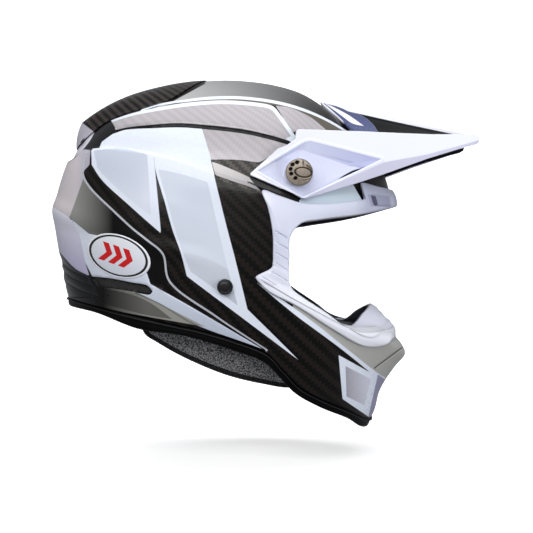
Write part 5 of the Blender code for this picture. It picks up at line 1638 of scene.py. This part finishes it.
def skin_cushion(name, grid, outer_depth, inner_depth, swell, channels, slot, cloth, node, open_end):
    """A stuffed layer between two depths of the skin, crowned on its inner face, with sewn channels."""
    nu, nv = grid.shape[:2]
    u = np.linspace(0, 1, nu)[:, None]
    v = np.linspace(0, 1, nv)[None, :]
    if open_end == "right":
        edge_u, edge_v = np.clip(u * 8, 0, 1), np.clip(np.minimum(v, 1 - v) * 6, 0, 1)
    else:
        edge_u, edge_v = np.clip(np.minimum(u, 1 - u) * 14, 0, 1), np.clip(v * 7, 0, 1)
    round_in = 1 - (1 - edge_u * np.ones_like(v)) ** 2.5 * 0.7 - (1 - edge_v * np.ones_like(u)) ** 2.5 * 0.7
    round_in = np.clip(round_in, 0.05, 1)
    depth_mid = (outer_depth + inner_depth) / 2
    half = (inner_depth - outer_depth) / 2
    groove = np.zeros((nu, nv))
    for kind, at, wide, deep in channels:
        line = u * np.ones_like(v) if kind == "u" else v * np.ones_like(u)
        groove += deep * smooth(wide, 0.0, np.abs(line - at))
    inner = depth_mid + half * round_in + swell * round_in - groove
    outer = depth_mid - half * round_in
    a = from_disc(grid, outer)
    b = from_disc(grid, inner)
    n = nu * nv
    one_side = quads(nu, nv)
    faces = one_side + [tuple(n + k for k in reversed(f)) for f in one_side]
    sides = {"inner": [i * nv for i in range(nu)], "outer": [i * nv + nv - 1 for i in range(nu)],
             "left": list(range(nv)), "right": [(nu - 1) * nv + j for j in range(nv)]}
    shut = ("inner", "outer", "left") if open_end == "right" else ("inner",)
    for side in shut:
        line = sides[side]
        faces += [(k, m, m + n, k + n) for k, m in zip(line, line[1:])]
    ob = recalc(half_mesh(name, np.vstack([a.reshape(-1, 3), b.reshape(-1, 3)]), faces))
    settle(ob, "shell", slot, cloth, node)


def make_liner():
    nu, nv = 190, 60
    lower = edge_curve([(145, 50), (115, 42), (74, 36), (50, 31), (40, 14), (36, -2), (20, -9), (-50, -9),
                        (-100, -20), (-139, -25)], nu)
    crown = mid_curve(lower[0], lower[-1], nu, 1)
    left = np.repeat(lower[:1], nv, axis=0)
    right = np.repeat(lower[-1:], nv, axis=0)
    grid = coons(lower, crown, left, right)
    channels = [("u", a, 0.012, 2.2) for a in (0.2, 0.35, 0.5, 0.65, 0.8)]
    channels += [("v", a, 0.02, 2.0) for a in (0.3, 0.62)]
    skin_cushion("crown_liner", grid, 35.0, 43.0, 0.6, channels, "dark_mesh_fabric", spacer_cloth(),
                 "comfort_liner", "crown")


def make_neck_roll():
    nu, nv = 90, 40
    low = edge_curve([(-90, -59), (-104, -56), (-120, -51), (-134, -47)], nu, (False, True))
    top = edge_curve([(-90, -28), (-104, -30), (-122, -33), (-139.5, -36)], nu, (False, True))
    left = resample(np.array([low[0], top[0]]), nv)
    grid = coons(low, top, left, mid_curve(low[-1], top[-1], nv, -1))
    skin_cushion("nape_roll", grid, 17.0, 33.0, 0.5, [("u", 0.55, 0.03, 2.0)], "heather_fabric",
                 nape_cloth(), "neck_roll", "right")


def nape_cloth():
    g = Graph("nape_cloth")
    where = g.place()
    height = knit(g, where, 0.9)
    fleck = g.noise(1.5, where, 4.0, 0.8)
    colour = g.ramp(fleck, 0.36, 0.62, srgb(30, 30, 32), srgb(104, 103, 104))
    colour = g.mix(g.span(height, 0.2, 0.8, 0.5, 0.0), colour, srgb(18, 18, 20))
    return g.finish(Base_Color=colour, Roughness=0.95, Normal=g.bump(height, 0.0006, 0.9), Sheen_Weight=0.25,
                    Sheen_Roughness=0.5, Specular_IOR_Level=0.2)


def spacer_cloth():
    g = Graph("spacer_cloth")
    where = g.place()
    holes = g.voronoi(0.42, where, randomness=0.15)
    dot = g.span(holes, 0.36, 0.24)
    fuzz = g.noise(2.4, where, 4.0, 0.7)
    colour = g.ramp(fuzz, 0.3, 0.7, srgb(30, 31, 34), srgb(56, 57, 60))
    colour = g.mix(dot, colour, srgb(7, 7, 8))
    height = g.plus(g.times(dot, -1.0), g.times(fuzz, 0.4))
    return g.finish(Base_Color=colour, Roughness=0.95, Normal=g.bump(height, 0.0007, 0.9), Sheen_Weight=0.2,
                    Sheen_Roughness=0.5, Specular_IOR_Level=0.2)


# ---------------------------------------------------------------- chin strap
STRAP_X, STRAP_WIDTH, STRAP_THICK = 2.5, 22.0, 2.0
RING_AT, RING_TURN = (-54.0, -72.0), (15.5, 7.5)
STRAP_ALONG, STRAP_OUT = np.array([0.853, -0.521]), np.array([-0.521, -0.853])


def long_path(count):
    """The long strap's centre line (y, z): left rivet, under the chin, round the rings and back."""
    ring = np.array(RING_AT)

    def local(s, n):
        return tuple(ring + s * STRAP_ALONG + n * STRAP_OUT)

    turn = [local(RING_TURN[0] - RING_TURN[1] * math.sin(a), -RING_TURN[1] * math.cos(a))
            for a in np.linspace(0, math.pi, 7)]
    leg = [(110.5, -31), (108, -35.5), (103, -36.5), (70, -36.5), (62, -39), (59.5, -45),
           (58, -62), (50, -82), (34, -96), (18, -101.5), local(58, -1.6), local(42, -4.2), local(29, -7.4)]
    body = spline(leg + turn + [local(30, 6.8), local(44, 1.8), local(56, 1.4)], count)
    return np.vstack([np.stack([np.full(12, 110.5), np.linspace(-13, -31, 13)[:-1]], axis=1), body])


def short_path(count):
    ring = np.array(RING_AT)
    loop = [tuple(ring + 5.3 * math.cos(a) * STRAP_ALONG + 5.3 * math.sin(a) * STRAP_OUT)
            for a in np.linspace(-math.pi * 0.62, math.pi * 0.75, 9)]
    leg = [(-110.5, -31), (-108, -35.5), (-103, -36.5), (-70, -36.5), (-62.5, -39), (-60.5, -46),
           (-59.5, -58)]
    body = spline(leg + loop, count)
    return np.vstack([np.stack([np.full(12, -110.5), np.linspace(-13, -31, 13)[:-1]], axis=1), body])


def webbing_band(name, path, node):
    """A woven band along a (y, z) path, with rounded selvedges."""
    d = np.gradient(path, axis=0)
    d /= np.linalg.norm(d, axis=1, keepdims=True)
    n = np.stack([-d[:, 1], d[:, 0]], axis=1)
    w, t = STRAP_WIDTH / 2, STRAP_THICK / 2
    k = 26
    xs = np.linspace(-w, w, k)
    swell = t * (0.72 + 0.28 * np.cos(np.pi * xs / w) ** 2) * np.clip((w - np.abs(xs)) / 0.8 + 0.35, 0, 1)
    swell = np.minimum(swell, t)
    section = [(x, s) for x, s in zip(xs, swell)] + [(x, -s) for x, s in zip(xs[::-1], swell[::-1])]
    grid = np.array([[(STRAP_X + x, p[0] + q[0] * s, p[1] + q[1] * s) for x, s in section]
                     for p, q in zip(path, n)])
    nu, nv = grid.shape[:2]
    faces = quads(nu, nv, wrap=True) + [tuple(range(nv)), tuple((nu - 1) * nv + j for j in range(nv))]
    ob = single_mesh(name, grid.reshape(-1, 3), faces)
    run = np.concatenate([[0], np.cumsum(np.linalg.norm(np.diff(path, axis=0), axis=1))])
    mark(ob, "run", np.repeat(run, nv))
    mark(ob, "across", np.tile([x for x, _ in section], nu))
    settle(ob, "strap", "webbing", webbing(), node)


@cache
def webbing():
    g = Graph("strap_webbing")
    run, across = g.attribute("run"), g.attribute("across")
    vee = g.plus(g.times(run, 2.2), g.times(g.math("PINGPONG", across, 1.8), 3.4))
    rib = g.size(g.math("SINE", vee))
    column = g.size(g.wave(across, 1.745))
    height = g.times(rib, g.math("POWER", column, 0.4))
    colour = g.mix(height, srgb(6, 6, 7), srgb(38, 38, 41))
    stitch_x = g.span(g.size(g.minus(g.size(across), 8.2)), 0.5, 0.3)
    dash = g.math("GREATER_THAN", g.wave(run, 2.0), -0.4)
    thread = g.times(g.times(stitch_x, dash), g.span(run, 30, 29))
    colour = g.mix(thread, colour, srgb(150, 20, 24))
    bumps = g.plus(height, thread)
    return g.finish(Base_Color=colour, Roughness=0.85, Normal=g.bump(bumps, 0.0004, 0.9), Sheen_Weight=0.15,
                    Sheen_Roughness=0.5, Specular_IOR_Level=0.25)


def make_straps():
    webbing_band("strap_long", long_path(420), "chin_strap_left")
    webbing_band("strap_short", short_path(240), "chin_strap_right")

# ---------------------------------------------------------------- finishes of the CAD nodes that are shown as they are
def foam_beads():
    g = Graph("foam_beads")
    where = g.place()
    beads = g.voronoi(0.34, where, randomness=0.9)
    seams = g.voronoi(0.34, where, "DISTANCE_TO_EDGE", randomness=0.9)
    tone = g.voronoi(0.34, where, output="Color", randomness=0.9)
    colour = g.mix(g.span(g.axes(tone)[0], 0, 1), srgb(34, 34, 36), srgb(52, 52, 55))
    colour = g.mix(g.span(seams, 0.0, 0.05, 0.8, 0.0), colour, srgb(10, 10, 11))
    return g.finish(Base_Color=colour, Roughness=0.8, Normal=g.bump(beads, -0.0006, 0.7))


def brushed_steel():
    g = Graph("brushed_steel")
    where = g.node("ShaderNodeMapping", {"Vector": g.place(), "Scale": (0.2, 3.0, 3.0)}).outputs[0]
    streak = g.noise(2.0, where, 4.0, 0.6)
    colour = g.ramp(streak, 0.3, 0.7, srgb(150, 152, 156), srgb(204, 206, 210))
    return g.finish(Base_Color=colour, Metallic=1.0, Roughness=g.span(streak, 0.3, 0.7, 0.2, 0.36),
                    Normal=g.bump(streak, 0.00003, 0.3))


CARRIED = {
    foam_beads: ["eps_liner", "eps_chin_bar"],
    brushed_steel: ["visor_insert_left", "visor_insert_right", "strap_rivet_left", "strap_rivet_right",
                    "strap_washer_left", "strap_washer_right", "d_ring_inner", "d_ring_outer"],
    black_plastic: ["cheek_pad_base_left", "cheek_pad_base_right", "cheek_pad_snap_a_left",
                    "cheek_pad_snap_b_left", "cheek_pad_snap_a_right", "cheek_pad_snap_b_right", "strap_snap"],
    rubber: ["visor_washer_left", "visor_washer_right"],
    mesh_metal: ["rear_exhaust_mesh"],
}


def finish_carried(nodes):
    for maker, names in CARRIED.items():
        material = maker()
        for name in names:
            nodes[name].data.materials.clear()
            nodes[name].data.materials.append(material)

# ---------------------------------------------------------------- stage, light and camera
FLOOR_Z = -0.1735


def plain_material(name, colour, roughness, glow=0.0):
    g = Graph(name)
    grain = g.noise(30.0, g.place((1, 1, 1)), 3.0)
    tint = g.mix(g.span(grain, 0.3, 0.7, 0.0, 0.03), colour, (0.5, 0.5, 0.5))
    g.finish(Base_Color=tint, Roughness=roughness)
    if glow:
        g.finish(Emission_Color=(1.0, 1.0, 1.0), Emission_Strength=glow)
    return g.material


def make_stage():
    """A white floor that curves up into a backdrop."""
    turn = np.linspace(0, math.pi / 2, 16)[1:]
    profile = [(-6.0, 0.0), (2.2, 0.0)]
    profile += [(2.2 + 1.2 * math.sin(a), 1.2 - 1.2 * math.cos(a)) for a in turn]
    profile.append((3.4, 5.0))
    points = [(x, y, FLOOR_Z + z) for y, z in profile for x in (-7.0, 7.0)]
    faces = [(2 * k, 2 * k + 1, 2 * k + 3, 2 * k + 2) for k in range(len(profile) - 1)]
    mesh = bpy.data.meshes.new("stage_floor")
    mesh.from_pydata(points, [], faces)
    mesh.shade_smooth()
    ob = bpy.data.objects.new("stage_floor", mesh)
    bpy.context.scene.collection.objects.link(ob)
    mesh.materials.append(plain_material("stage_white", (0.80, 0.80, 0.80), 0.7, 0.58))
    ob.visible_diffuse = False
    ob.visible_glossy = False


def area_light(name, place, target, size, power, colour=(1.0, 1.0, 1.0)):
    data = bpy.data.lights.new(name, "AREA")
    data.shape = "RECTANGLE"
    data.size, data.size_y = size
    data.energy = power
    data.color = colour
    ob = bpy.data.objects.new(name, data)
    bpy.context.scene.collection.objects.link(ob)
    ob.location = place
    ob.rotation_euler = (Vector(target) - Vector(place)).to_track_quat("-Z", "Y").to_euler()
    return ob


def make_light():
    area_light("key", (-0.5, -2.1, 1.35), (0, 0, 0), (2.6, 1.4), 48)
    fills = [area_light("fill_right", (1.9, -1.3, -0.35), (0.1, 0, -0.09), (1.5, 1.3), 52, (0.95, 0.96, 1.0)),
             area_light("backdrop", (0, 1.0, 2.6), (0, 3.0, 0.2), (4.0, 1.5), 90),
             area_light("top", (0, 0.1, 1.8), (0, 0, 0), (1.2, 0.9), 12)]
    for light in fills:
        light.visible_glossy = False
    world = bpy.data.worlds.new("studio")
    bpy.context.scene.world = world
    world.use_nodes = True
    back = world.node_tree.nodes["Background"]
    back.inputs["Color"].default_value = (0.93, 0.95, 1.0, 1)
    back.inputs["Strength"].default_value = 0.26


def make_camera():
    data = bpy.data.cameras.new("camera")
    data.sensor_width = 36.0
    data.angle = 2 * math.atan(0.23452 / 1.2)
    data.shift_y = -0.0235
    ob = bpy.data.objects.new("camera", data)
    bpy.context.scene.collection.objects.link(ob)
    ob.location = (0.0352, -1.2, 0.0)
    ob.rotation_euler = (math.pi / 2, 0, 0)
    bpy.context.scene.camera = ob
    bpy.context.scene.view_settings.view_transform = "Standard"


def main():
    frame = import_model()
    make_shell()
    make_port_trim()
    make_rim_band()
    make_mouthpiece()
    make_visor()
    make_screws()
    make_fin()
    make_badges()
    make_rear_vents()
    make_brow_grilles()
    make_rivet_covers()
    make_cheek_pads()
    make_liner()
    make_neck_roll()
    make_straps()
    finish_carried(frame["nodes"])
    make_stage()
    make_light()
    make_camera()


main()
